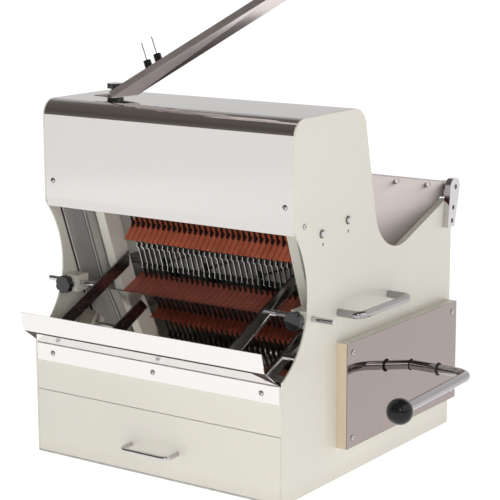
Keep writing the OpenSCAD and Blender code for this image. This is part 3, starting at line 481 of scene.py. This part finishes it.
def liner_steel(shop):
    place = shop.place()
    smear = shop.noise(place, 14.0, 4.0, 0.65)
    base = colours().stainless
    shop.surface(
        Base_Color=shop.mixed(shop.band(smear, 0.35, 0.7), tint(base, 1.0), tint(base, 0.9)),
        Metallic=0.62, Roughness=shop.band(smear, 0.35, 0.75, 0.02, 0.05))


def bead_painted_highlight(shop):
    # The bead is real; its near-white, mostly diffuse colour is a painted highlight along the fold
    place = shop.place()
    smear = shop.noise(place, 30.0, 4.0, 0.6)
    shop.surface(
        Base_Color=shop.mixed(smear, tint((0.84, 0.81, 0.79)), tint((0.95, 0.92, 0.90))),
        Metallic=0.2, Roughness=shop.band(smear, 0.3, 0.7, 0.22, 0.34))


def comb_laminate(shop, share=(1.0, 1.0, 1.0)):
    place = shop.place()
    weave = (shop.along(place, "X") * 5200.0).wave() * (shop.along(place, "Z") * 5200.0).wave()
    cloud = shop.noise(place, 35.0, 3.0)
    cuts = shop.noise(shop.scaled(place, (60.0, 1500.0, 1500.0)), 1.0, 2.0)
    base = [part * much for part, much in zip(colours().phenolic, share)]
    tone = shop.mixed(shop.band(cloud, 0.3, 0.7), tint(base, 0.82), tint(base, 1.18))
    tone = shop.mixed(shop.band(cuts, 0.45, 0.75, 0.0, 0.35), tone, tint((0.55, 0.24, 0.16)))
    shop.surface(
        Base_Color=tone,
        Roughness=shop.band(cloud + weave * 0.1, 0.3, 0.8, 0.36, 0.52),
        Normal=shop.bump(weave * 0.3 + cuts, 0.05, 0.0002, shop.rounded(0.0005)))


def shaded_laminate(shop):
    # Painted shade: the lower comb's laminate is darker and more purple than the upper comb's
    comb_laminate(shop, (0.68, 0.78, 1.0))


def blade_steel(shop):
    place = shop.place()
    marks = shop.noise(shop.scaled(place, (40.0, 1200.0, 90.0)), 1.0, 3.0)
    shop.surface(
        Base_Color=shop.mixed(marks, tint((0.022, 0.021, 0.021)), tint((0.05, 0.048, 0.046))),
        Metallic=0.5, Roughness=shop.band(marks, 0.3, 0.7, 0.34, 0.5), Specular_IOR_Level=0.25)


def ground_edge(shop):
    place = shop.place()
    marks = shop.noise(shop.scaled(place, (40.0, 200.0, 2500.0)), 1.0, 2.0)
    facing = shop.bent(shop.face_normal(), (2.4, -4.1, 0.35))
    shop.surface(
        Base_Color=shop.mixed(marks, tint((0.50, 0.49, 0.48)), tint((0.66, 0.65, 0.63))),
        Metallic=1.0, Roughness=shop.band(marks, 0.3, 0.7, 0.20, 0.30), Normal=facing)


def brown_edge(shop):
    # Dark brown of painted shade: under the tray's strip, at the bracket's fold and beside the liner beads
    place = shop.place()
    cloud = shop.noise(place, 80.0, 3.0)
    shop.surface(
        Base_Color=shop.mixed(cloud, tint((0.04, 0.026, 0.025)), tint((0.08, 0.052, 0.05))),
        Roughness=shop.band(cloud, 0.3, 0.7, 0.45, 0.6), Specular_IOR_Level=0.1)


def flag_board(shop):
    cloud = shop.noise(shop.place(), 3.0, 2.0)
    shop.surface(
        Base_Color=shop.mixed(cloud, tint((0.17, 0.12, 0.085)), tint((0.30, 0.23, 0.17))), Roughness=0.8)


def card_board(shop):
    shop.surface(
        Base_Color=tint((0.8, 0.8, 0.8)), Roughness=0.9,
        Emission_Color=tint((1.0, 0.98, 0.97)), Emission_Strength=0.85)


def black_moulding(shop, gloss=1.0):
    place = shop.place()
    swirl = shop.noise(place, 70.0, 4.0)
    scuff = shop.noise(place, 300.0, 3.0)
    base = colours().black
    shop.surface(
        Base_Color=shop.mixed(shop.band(scuff, 0.62, 0.85, 0.0, 0.4), tint(base), tint(base, 4.0)),
        Roughness=shop.band(swirl, 0.3, 0.7, 0.12, 0.22),
        Specular_IOR_Level=0.5 * gloss, Coat_Weight=0.3 * gloss, Coat_Roughness=0.08,
        Normal=shop.bump(swirl, 0.04, 0.0004, shop.rounded(0.0008)))


def ball_moulding(shop):
    black_moulding(shop, 0.35)


def plated_steel(shop):
    place = shop.place()
    cloud = shop.noise(place, 45.0, 4.0)
    marks = shop.noise(shop.scaled(place, (30.0, 400.0, 400.0)), 1.0, 2.0)
    tone = shop.mixed(shop.band(cloud, 0.3, 0.7), tint((0.40, 0.40, 0.41)), tint((0.56, 0.55, 0.53)))
    shop.surface(
        Base_Color=tone, Metallic=1.0,
        Roughness=shop.band(cloud * 0.5 + marks * 0.5, 0.3, 0.7, 0.28, 0.46),
        Normal=shop.bump(marks, 0.05, 0.0002, shop.rounded(0.0007)))


def dark_tube(shop):
    place = shop.place()
    cloud = shop.noise(place, 60.0, 3.0)
    shop.surface(
        Base_Color=shop.mixed(cloud, tint((0.06, 0.06, 0.06)), tint((0.11, 0.105, 0.10))),
        Metallic=0.8, Roughness=shop.band(cloud, 0.3, 0.7, 0.28, 0.42), Normal=shop.rounded(0.0006))


def motor_paint(shop):
    place = shop.place()
    dimple = shop.cells(place, 320.0)
    cloud = shop.noise(place, 20.0, 3.0)
    shop.surface(
        Base_Color=shop.mixed(cloud, tint((0.10, 0.13, 0.16)), tint((0.15, 0.18, 0.21))),
        Roughness=shop.band(cloud, 0.3, 0.7, 0.35, 0.5),
        Normal=shop.bump(dimple, 0.2, 0.0006, shop.rounded(0.001)))


def bush_bronze(shop):
    place = shop.place()
    pores = shop.noise(place, 900.0, 3.0)
    shop.surface(
        Base_Color=shop.mixed(pores, tint((0.42, 0.26, 0.10)), tint((0.62, 0.43, 0.20))),
        Metallic=1.0, Roughness=shop.band(pores, 0.3, 0.7, 0.3, 0.5), Normal=shop.rounded(0.0005))


def moulding(shop, base, low, high):
    """Plain moulded plastic with a spark-eroded grain."""
    place = shop.place()
    grain = shop.noise(place, 1300.0, 2.0)
    cloud = shop.noise(place, 25.0, 3.0)
    shop.surface(
        Base_Color=shop.mixed(shop.band(cloud, 0.3, 0.7), tint(base, 0.92), tint(base, 1.06)),
        Roughness=shop.band(grain, 0.3, 0.7, low, high),
        Normal=shop.bump(grain, 0.05, 0.0002, shop.rounded(0.0009)))


def white_slide(shop):
    moulding(shop, (0.78, 0.77, 0.72), 0.40, 0.55)


def grey_moulding(shop):
    moulding(shop, (0.30, 0.31, 0.32), 0.40, 0.52)


def green_moulding(shop):
    moulding(shop, (0.03, 0.30, 0.08), 0.18, 0.28)


def red_moulding(shop):
    moulding(shop, (0.55, 0.02, 0.015), 0.18, 0.28)


def black_rubber(shop):
    moulding(shop, (0.018, 0.018, 0.018), 0.55, 0.75)


FINISHES = {
    "cream_enamel": cream_enamel,
    "shaded_frame_faces": shaded_frame_faces,
    "hood_steel": hood_steel,
    "cover_steel": cover_steel,
    "flap_steel": flap_steel,
    "scoop_steel": scoop_steel,
    "bar_steel": bar_steel,
    "bed_steel": bed_steel,
    "plain_steel": plain_steel,
    "polished_lip": polished_lip,
    "mirror_steel": mirror_steel,
    "liner_steel": liner_steel,
    "bright_chrome": bright_chrome,
    "shaded_chrome": shaded_chrome,
    "bead_painted_highlight": bead_painted_highlight,
    "comb_laminate": comb_laminate,
    "shaded_laminate": shaded_laminate,
    "blade_steel": blade_steel,
    "ground_edge": ground_edge,
    "brown_edge": brown_edge,
    "flag_board": flag_board,
    "card_board": card_board,
    "black_moulding": black_moulding,
    "ball_moulding": ball_moulding,
    "plated_steel": plated_steel,
    "dark_tube": dark_tube,
    "motor_paint": motor_paint,
    "bush_bronze": bush_bronze,
    "white_slide": white_slide,
    "grey_moulding": grey_moulding,
    "green_moulding": green_moulding,
    "red_moulding": red_moulding,
    "black_rubber": black_rubber,
}


def paint(name, *nodes):
    """Gives nodes that keep their own shape a finish."""
    for node in nodes:
        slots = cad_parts[node].data.materials
        slots.clear()
        slots.append(finish(name))


def piece(name, work, body, *materials):
    """Turns a bmesh into a piece that rides on a body."""
    mesh = bpy.data.meshes.new(name)
    bmesh.ops.recalc_face_normals(work, faces=work.faces)
    work.to_mesh(mesh)
    work.free()
    for material in materials:
        mesh.materials.append(finish(material))
    made = bpy.data.objects.new(name, mesh)
    bpy.context.scene.collection.objects.link(made)
    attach(made, body)
    return made


def smooth(made, angle=SHARP):
    """Smooth shading with the sharp edges kept."""
    made.data.polygons.foreach_set("use_smooth", [True] * len(made.data.polygons))
    made.data.set_sharp_from_angle(angle=math.radians(angle))
    return made


def joined_copy(node):
    """A bmesh of a node with its seams closed and its flat faces merged."""
    work = bmesh.new()
    work.from_mesh(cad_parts[node].data)
    bmesh.ops.remove_doubles(work, verts=work.verts, dist=SEAM)
    bmesh.ops.dissolve_limit(
        work, angle_limit=math.radians(0.8), use_dissolve_boundaries=False,
        verts=work.verts, edges=work.edges)
    return work


def softened(node, name, body, width, material):
    """A copy of a node with its edges rounded, in place of it."""
    work = joined_copy(node)
    sharp = [
        e for e in work.edges
        if e.is_manifold and e.calc_face_angle(0.0) > math.radians(SHARP)
    ]
    bmesh.ops.bevel(
        work, geom=sharp, offset=width, offset_type="OFFSET", segments=4, profile=0.5,
        affect="EDGES", clamp_overlap=True)
    made = smooth(piece(name, work, body, material))
    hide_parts(node)
    return made


def islands(node):
    """The separate solids of a node, each as a list of its face corners and normals."""
    work = bmesh.new()
    work.from_mesh(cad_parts[node].data)
    bmesh.ops.remove_doubles(work, verts=work.verts, dist=SEAM)
    left = set(work.faces)
    found = []
    while left:
        start = left.pop()
        group, edge = [start], [start]
        while edge:
            face = edge.pop()
            for line in face.edges:
                for other in line.link_faces:
                    if other in left:
                        left.remove(other)
                        group.append(other)
                        edge.append(other)
        corners = [v.co.copy() for v in {v for f in group for v in f.verts}]
        facing = [(f.calc_area(), f.normal.copy()) for f in group]
        found.append((corners, facing))
    work.free()
    return found


def turned_axis(corners, facing):
    """Axis of a turned solid, from the spread of its face normals: the odd one out of three."""
    spread = Matrix(((0, 0, 0), (0, 0, 0), (0, 0, 0)))
    for area, normal in facing:
        for i in range(3):
            for j in range(3):
                spread[i][j] += area * normal[i] * normal[j]
    values, vectors = np.linalg.eigh(np.array(spread))
    gaps = [min(abs(values[i] - values[j]) for j in range(3) if j != i) for i in range(3)]
    axis = Vector(vectors[:, gaps.index(max(gaps))])
    middle = sum(corners, Vector()) / len(corners)
    along = [(c - middle).dot(axis) for c in corners]
    wide = {
        end: max(((c - middle) - axis * a).length for c, a in zip(corners, along) if abs(a - end) < 1e-5)
        for end in (min(along), max(along))
    }
    if wide[min(along)] > wide[max(along)]:
        axis = -axis
        along = [-a for a in along]
    return middle, axis, max(along), max(wide.values())


def upright(axis):
    """Turns the local Z to an axis."""
    return axis.to_track_quat("Z", "Y").to_matrix().to_4x4()


def loop_of(work, radius, height, sides, phase=0.0):
    """A ring of vertices."""
    return [
        work.verts.new((
            radius * math.cos(2 * math.pi * i / sides + phase),
            radius * math.sin(2 * math.pi * i / sides + phase), height))
        for i in range(sides)
    ]


def skin(work, first, second, material=0):
    """Quads between two rings of the same count."""
    count = len(first)
    for i in range(count):
        j = (i + 1) % count
        work.faces.new((first[i], first[j], second[j], second[i])).material_index = material


def block(work, first, second):
    """A closed solid between two rings."""
    skin(work, first, second)
    work.faces.new(first[::-1])
    work.faces.new(second)


def turned(work, profile, sides, closed=True, material=0):
    """A turned shape from its radii and heights."""
    rings = [loop_of(work, r, z, sides) for r, z in profile]
    for lower, upper in zip(rings, rings[1:]):
        skin(work, lower, upper, material)
    if closed:
        work.faces.new(rings[0][::-1]).material_index = material
        work.faces.new(rings[-1]).material_index = material
    return rings


def cross_screw(work, radius, height, sides):
    """A pan head with a cross recess, from its seat at z = 0 up."""
    profile = [(radius, 0.0), (radius, 0.45 * height), (0.94 * radius, 0.75 * height),
               (0.80 * radius, 0.93 * height)]
    # The ring at the seat and the cross recess take the second finish: painted dark as shade
    turned(work, [(1.14 * radius, 0.0), (1.10 * radius, 0.12 * height)], sides, material=1)
    rings = turned(work, profile, sides, closed=False)
    work.faces.new(rings[0][::-1])
    arm, half = 0.56 * radius, 0.13 * radius
    cross = [(arm, -half), (arm, half), (half, half), (half, arm), (-half, arm), (-half, half),
             (-arm, half), (-arm, -half), (-half, -half), (-half, -arm), (half, -arm), (half, -half)]
    rim = [work.verts.new((x, y, height)) for x, y in cross]
    floor = [work.verts.new((0.8 * x, 0.8 * y, 0.35 * height)) for x, y in cross]
    skin(work, rim, floor, 1)
    work.faces.new(floor).material_index = 1
    top = [work.edges.get((rings[-1][i], rings[-1][(i + 1) % sides])) for i in range(sides)]
    inner = [work.edges.get((rim[i], rim[(i + 1) % len(rim)])) for i in range(len(rim))]
    bmesh.ops.bridge_loops(work, edges=top + inner)


def hex_bolt(work, radius, height):
    """A hexagon head with a turned chamfer and a washer face."""
    # The washer face takes the second finish: painted dark as shade under the head
    turned(work, [(1.12 * radius, 0.0), (1.12 * radius, 0.16 * height)], 32, material=1)
    base = loop_of(work, radius, 0.16 * height, 6)
    wall = loop_of(work, radius, 0.86 * height, 6)
    top = loop_of(work, 0.86 * radius, height, 6)
    skin(work, base, wall)
    skin(work, wall, top)
    work.faces.new(base[::-1])
    work.faces.new(top)


def place_all(work, maker, places):
    """Makes one head for each place and moves it there."""
    for where, axis, turn in places:
        before = set(work.verts)
        maker(work)
        fresh = [v for v in work.verts if v not in before]
        matrix = Matrix.Translation(where) @ upright(axis) @ Matrix.Rotation(turn, 4, "Z")
        bmesh.ops.transform(work, matrix=matrix, verts=fresh)


def heads_of(node, head_height):
    """Seat, axis and a turn for each screw of a node, and the head's radius."""
    places, radius = [], 0.0
    for number, (corners, facing) in enumerate(islands(node)):
        middle, axis, top, wide = turned_axis(corners, facing)
        places.append((middle + axis * (top - head_height), axis, 0.4 + 1.1 * number))
        radius = max(radius, wide)
    return places, radius


def leaned(across, along, x):
    """Point of the leaning blade plane: across it, along the blades, and sideways."""
    c, s = math.cos(BLADE_LEAN), math.sin(BLADE_LEAN)
    return Vector((x, BLADE_Y + across * c - along * s, BLADE_Z + across * s + along * c))


def on_blade_plane(point):
    """The reverse of leaned()."""
    c, s = math.cos(BLADE_LEAN), math.sin(BLADE_LEAN)
    y, z = point.y - BLADE_Y, point.z - BLADE_Z
    return y * c + z * s, z * c - y * s, point.x


def slab(work, across, along, sideways, material=0):
    """A block that leans with the blades; its limits are in mm."""
    corners = [
        [work.verts.new(leaned(v * MM, u * MM, x * MM)) for v, u in (
            (across[0], along[0]), (across[1], along[0]), (across[1], along[1]), (across[0], along[1]))]
        for x in sideways
    ]
    skin(work, *corners, material)
    for loop in corners:
        work.faces.new(loop).material_index = material


def parts_of(node, body, slot, materials, *tests):
    """A copy of a node whose faces take the finish of the last test that their middle passes."""
    work = joined_copy(node)
    for face in work.faces:
        middle = face.calc_center_median()
        for number, test in enumerate(tests, 1):
            if test(middle):
                face.material_index = number
    made = smooth(piece(node + "_finished", work, body, *materials))
    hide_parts(node)


class SLICER_OT_casing(bpy.types.Operator):
    """Paints the casing and its inner panels"""

    bl_idname = "slicer.casing"
    bl_label = "Casing"

    def execute(self, context):
        paint("cream_enamel", "left_side_plate", "right_side_plate", "front_panel", "rear_panel",
              "comb_posts", "left_rod_clamp", "right_rod_clamp", "drawer_front")
        paint("plated_steel", "base_pan", "drawer_runners")
        work = joined_copy("cover_frame")
        for face in work.faces:
            # Faces that face front or back take the tan of painted shade
            face.material_index = 1 if abs(face.normal.y) > 0.9 else 0
        made = piece("cover_frame_painted", work, "casing", "cream_enamel", "shaded_frame_faces")
        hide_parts("cover_frame")
        self.slots()
        return {"FINISHED"}

    def slots(self):
        """Small dark slots under the comb bolts: thin patches on the plates, painted dark as the shade inside
        the slots.
        """
        work = bmesh.new()
        for side in (-1, 1):
            for y, z in SLOT_PLACES:
                middle = Vector((side * SLOT_WALL * MM, y * MM, z * MM))
                block(work, *[self.slot(work, middle, side * depth) for depth in SLOT_DEPTHS])
        made = piece("bolt_slots", work, "casing", "dark_tube")

    def slot(self, work, middle, out):
        """Rim of an upright slot with round ends."""
        rim = []
        for i in range(SLOT_SIDES):
            angle = 2 * math.pi * (i + 0.5) / SLOT_SIDES
            up = math.copysign(SLOT_LONG - SLOT_HALF, math.sin(angle))
            rim.append(work.verts.new(middle + Vector((
                out, SLOT_HALF * math.cos(angle), SLOT_HALF * math.sin(angle) + up))))
        return rim


class SLICER_OT_sheet_metal(bpy.types.Operator):
    """Finishes the hood, tray, cover, flap and the other sheet pieces"""

    bl_idname = "slicer.sheet_metal"
    bl_label = "Sheet metal"

    def execute(self, context):
        paint("hood_steel", "hood")
        paint("polished_lip", "chute_bracket")
        paint("liner_steel", "side_liners")
        parts_of("chute_tray", "casing", "mirror_steel", ("mirror_steel", "polished_lip", "brown_edge"),
                 lambda at: at.y < FRONT_Y - 39.5 * MM, self.under_strip)
        for side in ("left", "right"):
            parts_of(side + "_guide", side + "_loaf_guide", "mirror_steel", ("bar_steel", "bright_chrome"),
                     lambda at: math.hypot(at.y - ROD_Y, at.z - ROD_Z) < ROD_REACH)
        paint("cover_steel", "side_cover")
        paint("flap_steel", "loading_flap")
        paint("bed_steel", "loaf_bed", "pusher_fingers")
        paint("plain_steel", "drawer_box")
        self.beads()
        self.crease()
        return {"FINISHED"}

    def under_strip(self, at):
        """Whether a point is on the shaded side of the strip between the deck and the lip."""
        forward, up = FRONT_Y - at.y, at.z - TRAY_Z
        below = up * STRIP_COS - forward * STRIP_SIN < -0.6 * MM
        return below and 1.5 * MM < forward < 38.5 * MM

    def crease(self):
        """Dark line of painted shade where the bracket is bent under the lip."""
        work = bmesh.new()
        block(work, *[
            [work.verts.new((side * CREASE_HALF * MM, y * MM + FRONT_Y, z * MM)) for y, z in CREASE]
            for side in (-1, 1)
        ])
        made = piece("bracket_crease", work, "casing", "brown_edge")

    def beads(self):
        """Folded edges of the mirror liners: along each, a bright bead of painted highlight and a dark line
        of painted shade.
        """
        work = bmesh.new()
        for side in (-1, 1):
            for front, back, high, dark in BEADS:
                proud = BEAD_DARK if dark else BEAD_BRIGHT
                slab(work, (front, back), (BEAD_FOOT, high), (side * BEAD_WALL, side * proud), dark)
        made = piece("liner_beads", work, "casing", "bead_painted_highlight", "brown_edge")


class SLICER_OT_bright_work(bpy.types.Operator):
    """Finishes the handles, the lever and the hinge brackets"""

    bl_idname = "slicer.bright_work"
    bl_label = "Bright work"

    def execute(self, context):
        paint("bright_chrome", "drawer_handle", "hinge_brackets")
        paint("shaded_chrome", "feed_lever", "left_carry_handle", "right_carry_handle")
        paint("ball_moulding", "lever_ball")
        paint("black_rubber", "lever_ring")
        paint("dark_tube", "flap_pin")
        return {"FINISHED"}


class SLICER_OT_combs(bpy.types.Operator):
    """Finishes the combs and their rails"""

    bl_idname = "slicer.combs"
    bl_label = "Combs"

    def execute(self, context):
        paint("comb_laminate", "upper_comb")
        # The lower comb takes the laminate painted darker, as shade
        paint("shaded_laminate", "lower_comb")
        paint("plated_steel", "comb_rails")
        return {"FINISHED"}


class SLICER_OT_blades(bpy.types.Operator):
    """Makes the scalloped blades in place of the plain strips"""

    bl_idname = "slicer.blades"
    bl_label = "Blades"

    def execute(self, context):
        for node, body in (("front_blades", "front_saw"), ("rear_blades", "rear_saw")):
            work = bmesh.new()
            for corners, _ in islands(node):
                self.blade(work, [on_blade_plane(c) for c in corners])
            made = piece(node + "_toothed", work, body, "blade_steel", "ground_edge")
            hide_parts(node)
        return {"FINISHED"}

    def blade(self, work, flat):
        """One blade: its ears, and teeth along both edges between them."""
        x = sum(p[2] for p in flat) / len(flat)
        half = max(p[2] for p in flat) - x
        rows = sorted({(round(p[0] / MM, 2), round(p[1] / MM, 2)) for p in flat})
        ear = max((v for v, _ in rows), key=abs)
        side = 1 if ear > 0 else -1
        width = -min(v * side for v, _ in rows)
        inner = sorted(u for v, u in rows if abs(v * side - width) < 0.05)
        ends = sorted(u for v, u in rows if abs(v - ear) < 0.05)
        loop = [(ear, ends[0]), (ear, ends[1])]
        loop += self.teeth(side * width, inner[0], inner[-1])
        loop += [(ear, ends[2]), (ear, ends[3]), (-side * width, ends[3])]
        loop += self.teeth(-side * width, inner[0], inner[-1])[::-1]
        loop += [(-side * width, ends[0])]
        grind = sizes().grind / MM
        inset = [(v - math.copysign(min(grind, abs(v) * 0.5), v), u) for v, u in loop]
        first = len(work.faces)
        rims, cores = [
            [[work.verts.new(leaned(v * MM, u * MM, x + s * out)) for v, u in line] for s in (-1, 1)]
            for line, out in ((loop, 0.2 * half), (inset, half))
        ]
        skin(work, rims[0], rims[1])
        for rim, core in zip(rims, cores):
            skin(work, rim, core)
            work.faces.new(core)
        work.faces.ensure_lookup_table()
        # Only the front ground strip between the two limits takes the bright finish; above and below them it
        # keeps the dark blade colour as painted shade under the hood
        for face in work.faces[first:]:
            across, along, _ = on_blade_plane(face.calc_center_median())
            in_front = len(face.verts) == 4 and across < -0.15 * width * MM
            face.material_index = 1 if in_front and LIT_EDGE_LOW * MM < along < LIT_EDGE_HIGH * MM else 0

    def teeth(self, edge, low, high):
        """Scalloped edge going up: from each point a short slope, a long hollow and a step."""
        pitch, depth = sizes().tooth_pitch / MM, sizes().tooth_depth / MM
        hollow = edge - math.copysign(depth, edge)
        points = [(edge, low)]
        u = FIRST_POINT + pitch * math.ceil((low + END_SPACE - FIRST_POINT) / pitch)
        while u + pitch < high - END_SPACE:
            points += [(edge, u), (hollow, u + HOLLOW_START * pitch), (hollow, u + HOLLOW_END * pitch)]
            u += pitch
        points += [(edge, u), (edge, high)]
        return points


class SLICER_OT_blade_frames(bpy.types.Operator):
    """Finishes the blade frames and the drive"""

    bl_idname = "slicer.blade_frames"
    bl_label = "Blade frames and drive"

    def execute(self, context):
        paint("plated_steel", "front_blade_frame", "rear_blade_frame", "crankshaft", "motor_pulley",
              "crank_bearings", "motor_mount", "stop_pins")
        paint("plain_steel", "front_con_rods", "rear_con_rods")
        paint("white_slide", "frame_guides")
        paint("motor_paint", "motor")
        paint("black_rubber", "drive_belt")
        paint("bush_bronze", "lever_bushes")
        return {"FINISHED"}


class SLICER_OT_fasteners(bpy.types.Operator):
    """Makes the cross-recessed screws and the hexagon bolts"""

    bl_idname = "slicer.fasteners"
    bl_label = "Fasteners"

    def execute(self, context):
        sides = sizes().screw_sides
        for node, height, material, maker in (
            ("casing_screws", SCREW_HEAD, "bright_chrome", "screw"),
            ("hinge_screws", SCREW_HEAD, "dark_tube", "screw"),
            ("comb_bolts", BOLT_HEAD, "bright_chrome", "bolt"),
        ):
            places, radius = heads_of(node, height)
            work = bmesh.new()
            if maker == "screw":
                place_all(work, lambda w: cross_screw(w, radius, height, sides), places)
            else:
                place_all(work, lambda w: hex_bolt(w, radius * 0.9, height), places)
            # The second finish paints the recesses and the rings under the heads dark, as shade
            made = smooth(piece(node + "_headed", work, "casing", material, "dark_tube"), 30.0)
            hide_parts(node)
        return {"FINISHED"}


class SLICER_OT_knobs(bpy.types.Operator):
    """Makes the moulded knobs with rounded lobes"""

    bl_idname = "slicer.knobs"
    bl_label = "Knobs"

    def execute(self, context):
        for node, body in (("left_clamp_knob", "left_knob"), ("right_clamp_knob", "right_knob"),
                           ("scoop_knob", "scoop_nut")):
            made = softened(node, node + "_moulded", body, sizes().knob_round, "black_moulding")
        return {"FINISHED"}


class SLICER_OT_scoop(bpy.types.Operator):
    """Finishes the bagging scoop"""

    bl_idname = "slicer.scoop"
    bl_label = "Bagging scoop"

    def execute(self, context):
        local = (
            Matrix.Translation(SCOOP_PIVOT) @ Matrix.Rotation(SCOOP_TURN, 4, "Z")
            @ Matrix.Translation(SCOOP_FOOT) @ Matrix.Rotation(SCOOP_RISE, 4, "Y")).inverted()

        def clip(radius):
            def test(at):
                spot = local @ at
                gaps = [math.hypot(spot.x - x, spot.y - CLIP_Y) for x in CLIP_X]
                return spot.z > CLIP_Z and min(gaps) < radius
            return test

        parts_of("bag_scoop", "scoop", "stainless", ("scoop_steel", "black_moulding", "bright_chrome"),
                 clip(NUT_REACH), clip(WIRE_REACH))
        paint("dark_tube", "scoop_stud")
        return {"FINISHED"}


class SLICER_OT_switches(bpy.types.Operator):
    """Finishes the switch box, its buttons and the cable gland"""

    bl_idname = "slicer.switches"
    bl_label = "Switches"

    def execute(self, context):
        paint("grey_moulding", "switch_box")
        paint("black_moulding", "cable_gland")
        for node, body, material, slot in (
            ("start_button", "start", "green_moulding", "green_plastic"),
            ("stop_button", "stop", "red_moulding", "red_plastic"),
        ):
            made = softened(node, node + "_cap", body, BUTTON_ROUND, material)
        return {"FINISHED"}


class SLICER_OT_stage(bpy.types.Operator):
    """Sets up the floor, the light and the camera"""

    bl_idname = "slicer.stage"
    bl_label = "Stage"

    def execute(self, context):
        self.camera(context)
        self.world(context)
        self.floor()
        self.light("key", *KEY_LIGHT, studio().key_power)
        self.light("fill", *FILL_LIGHT, studio().fill_power).visible_glossy = False
        self.light("front", *FRONT_LIGHT, studio().front_power).visible_glossy = False
        self.board("flag", *DARK_BOARD)
        self.board("card", *WHITE_BOARD)
        context.scene.view_settings.view_transform = "Standard"
        return {"FINISHED"}

    def camera(self, context):
        lens = bpy.data.cameras.new("camera")
        lens.sensor_width = SENSOR
        lens.lens = CAMERA_LENS
        lens.clip_end = 100
        made = bpy.data.objects.new("camera", lens)
        made.location = CAMERA_PLACE
        turn = Matrix.Rotation(CAMERA_YAW, 4, "Z") @ Matrix.Rotation(CAMERA_PITCH, 4, "X")
        made.rotation_euler = (turn @ Matrix.Rotation(CAMERA_ROLL, 4, "Z")).to_euler()
        context.scene.collection.objects.link(made)
        context.scene.camera = made

    def world(self, context):
        world = bpy.data.worlds.new("studio")
        world.use_nodes = True
        context.scene.world = world
        shop = Shop(world.node_tree)
        way = shop.node("ShaderNodeTexCoord", output="Generated")
        height = shop.along(way, "Z")
        room, drop = [
            shop.node(
                "ShaderNodeValToRGB", {"stops": [(place, self.grey(level)) for place, level in levels]},
                {0: height * 0.5 + 0.5})
            for levels in (ROOM, BACKDROP)
        ]
        ramp = shop.mixed(shop.band(shop.along(way, "Y"), -0.05, 0.35), room, drop)
        sky = shop.node("ShaderNodeBackground", None, {"Color": ramp, "Strength": 1.0})
        shop.node("ShaderNodeOutputWorld", None, {"Surface": sky})

    def grey(self, level):
        """A grey that is warmer where it is dark."""
        green, blue = (0.98, 0.97) if level > 0.5 else (0.90, 0.82)
        return level, level * green, level * blue, 1.0

    def floor(self):
        work = bmesh.new()
        bmesh.ops.create_grid(work, x_segments=2, y_segments=2, size=40.0)
        mesh = bpy.data.meshes.new("floor")
        work.to_mesh(mesh)
        work.free()
        material = bpy.data.materials.new("floor_paper")
        material.use_nodes = True
        shop = Shop(material.node_tree)
        tooth = shop.noise(shop.place(), 30.0, 3.0)
        base = tuple(studio().floor)
        shop.surface(
            Base_Color=shop.mixed(tooth, tint(base, 0.36), tint(base, 0.37)),
            Roughness=0.9, Emission_Color=tint(base), Emission_Strength=1.0)
        mesh.materials.append(material)
        made = bpy.data.objects.new("floor", mesh)
        bpy.context.scene.collection.objects.link(made)

    def board(self, name, middle, width, height):
        """A board beside the machine that only the bright metal sees."""
        work = bmesh.new()
        corners = [(0, -width / 2, -height / 2), (0, width / 2, -height / 2),
                   (0, width / 2, height / 2), (0, -width / 2, height / 2)]
        work.faces.new([work.verts.new(Vector(c) + Vector(middle)) for c in corners])
        mesh = bpy.data.meshes.new(name)
        work.to_mesh(mesh)
        work.free()
        mesh.materials.append(finish(name + "_board"))
        made = bpy.data.objects.new(name, mesh)
        bpy.context.scene.collection.objects.link(made)
        made.visible_camera = made.visible_diffuse = made.visible_shadow = False

    def light(self, name, place, size, power):
        lamp = bpy.data.lights.new(name, "AREA")
        lamp.shape = "DISK"
        lamp.size = size
        lamp.energy = power
        made = bpy.data.objects.new(name, lamp)
        made.location = place
        aim = Vector(LIGHT_AIM) - Vector(place)
        made.rotation_euler = aim.to_track_quat("-Z", "Y").to_euler()
        bpy.context.scene.collection.objects.link(made)
        return made


STEPS = (
    SLICER_OT_stage,
    SLICER_OT_casing,
    SLICER_OT_sheet_metal,
    SLICER_OT_bright_work,
    SLICER_OT_combs,
    SLICER_OT_blades,
    SLICER_OT_blade_frames,
    SLICER_OT_fasteners,
    SLICER_OT_knobs,
    SLICER_OT_scoop,
    SLICER_OT_switches,
)


class SLICER_PT_panel(bpy.types.Panel):
    """Lists the sizes, the colours and the steps"""

    bl_idname = "SLICER_PT_panel"
    bl_label = "Bread slicer"
    bl_space_type = "VIEW_3D"
    bl_region_type = "UI"
    bl_category = "Slicer"

    def draw(self, context):
        for group in (colours(), sizes(), studio()):
            for name in group.__annotations__:
                self.layout.prop(group, name)
        for step in STEPS:
            self.layout.operator(step.bl_idname)


CLASSES = (SlicerColours, SlicerSizes, StudioSettings, *STEPS, SLICER_PT_panel)


def register():
    for cls in CLASSES:
        bpy.utils.register_class(cls)
    bpy.types.Scene.slicer_colours = PointerProperty(type=SlicerColours)
    bpy.types.Scene.slicer_sizes = PointerProperty(type=SlicerSizes)
    bpy.types.Scene.slicer_studio = PointerProperty(type=StudioSettings)


def unregister():
    del bpy.types.Scene.slicer_studio
    del bpy.types.Scene.slicer_sizes
    del bpy.types.Scene.slicer_colours
    for cls in reversed(CLASSES):
        bpy.utils.unregister_class(cls)


def main():
    register()
    for step in STEPS:
        family, name = step.bl_idname.split(".")
        getattr(getattr(bpy.ops, family), name)()


if __name__ == "__main__":
    main()
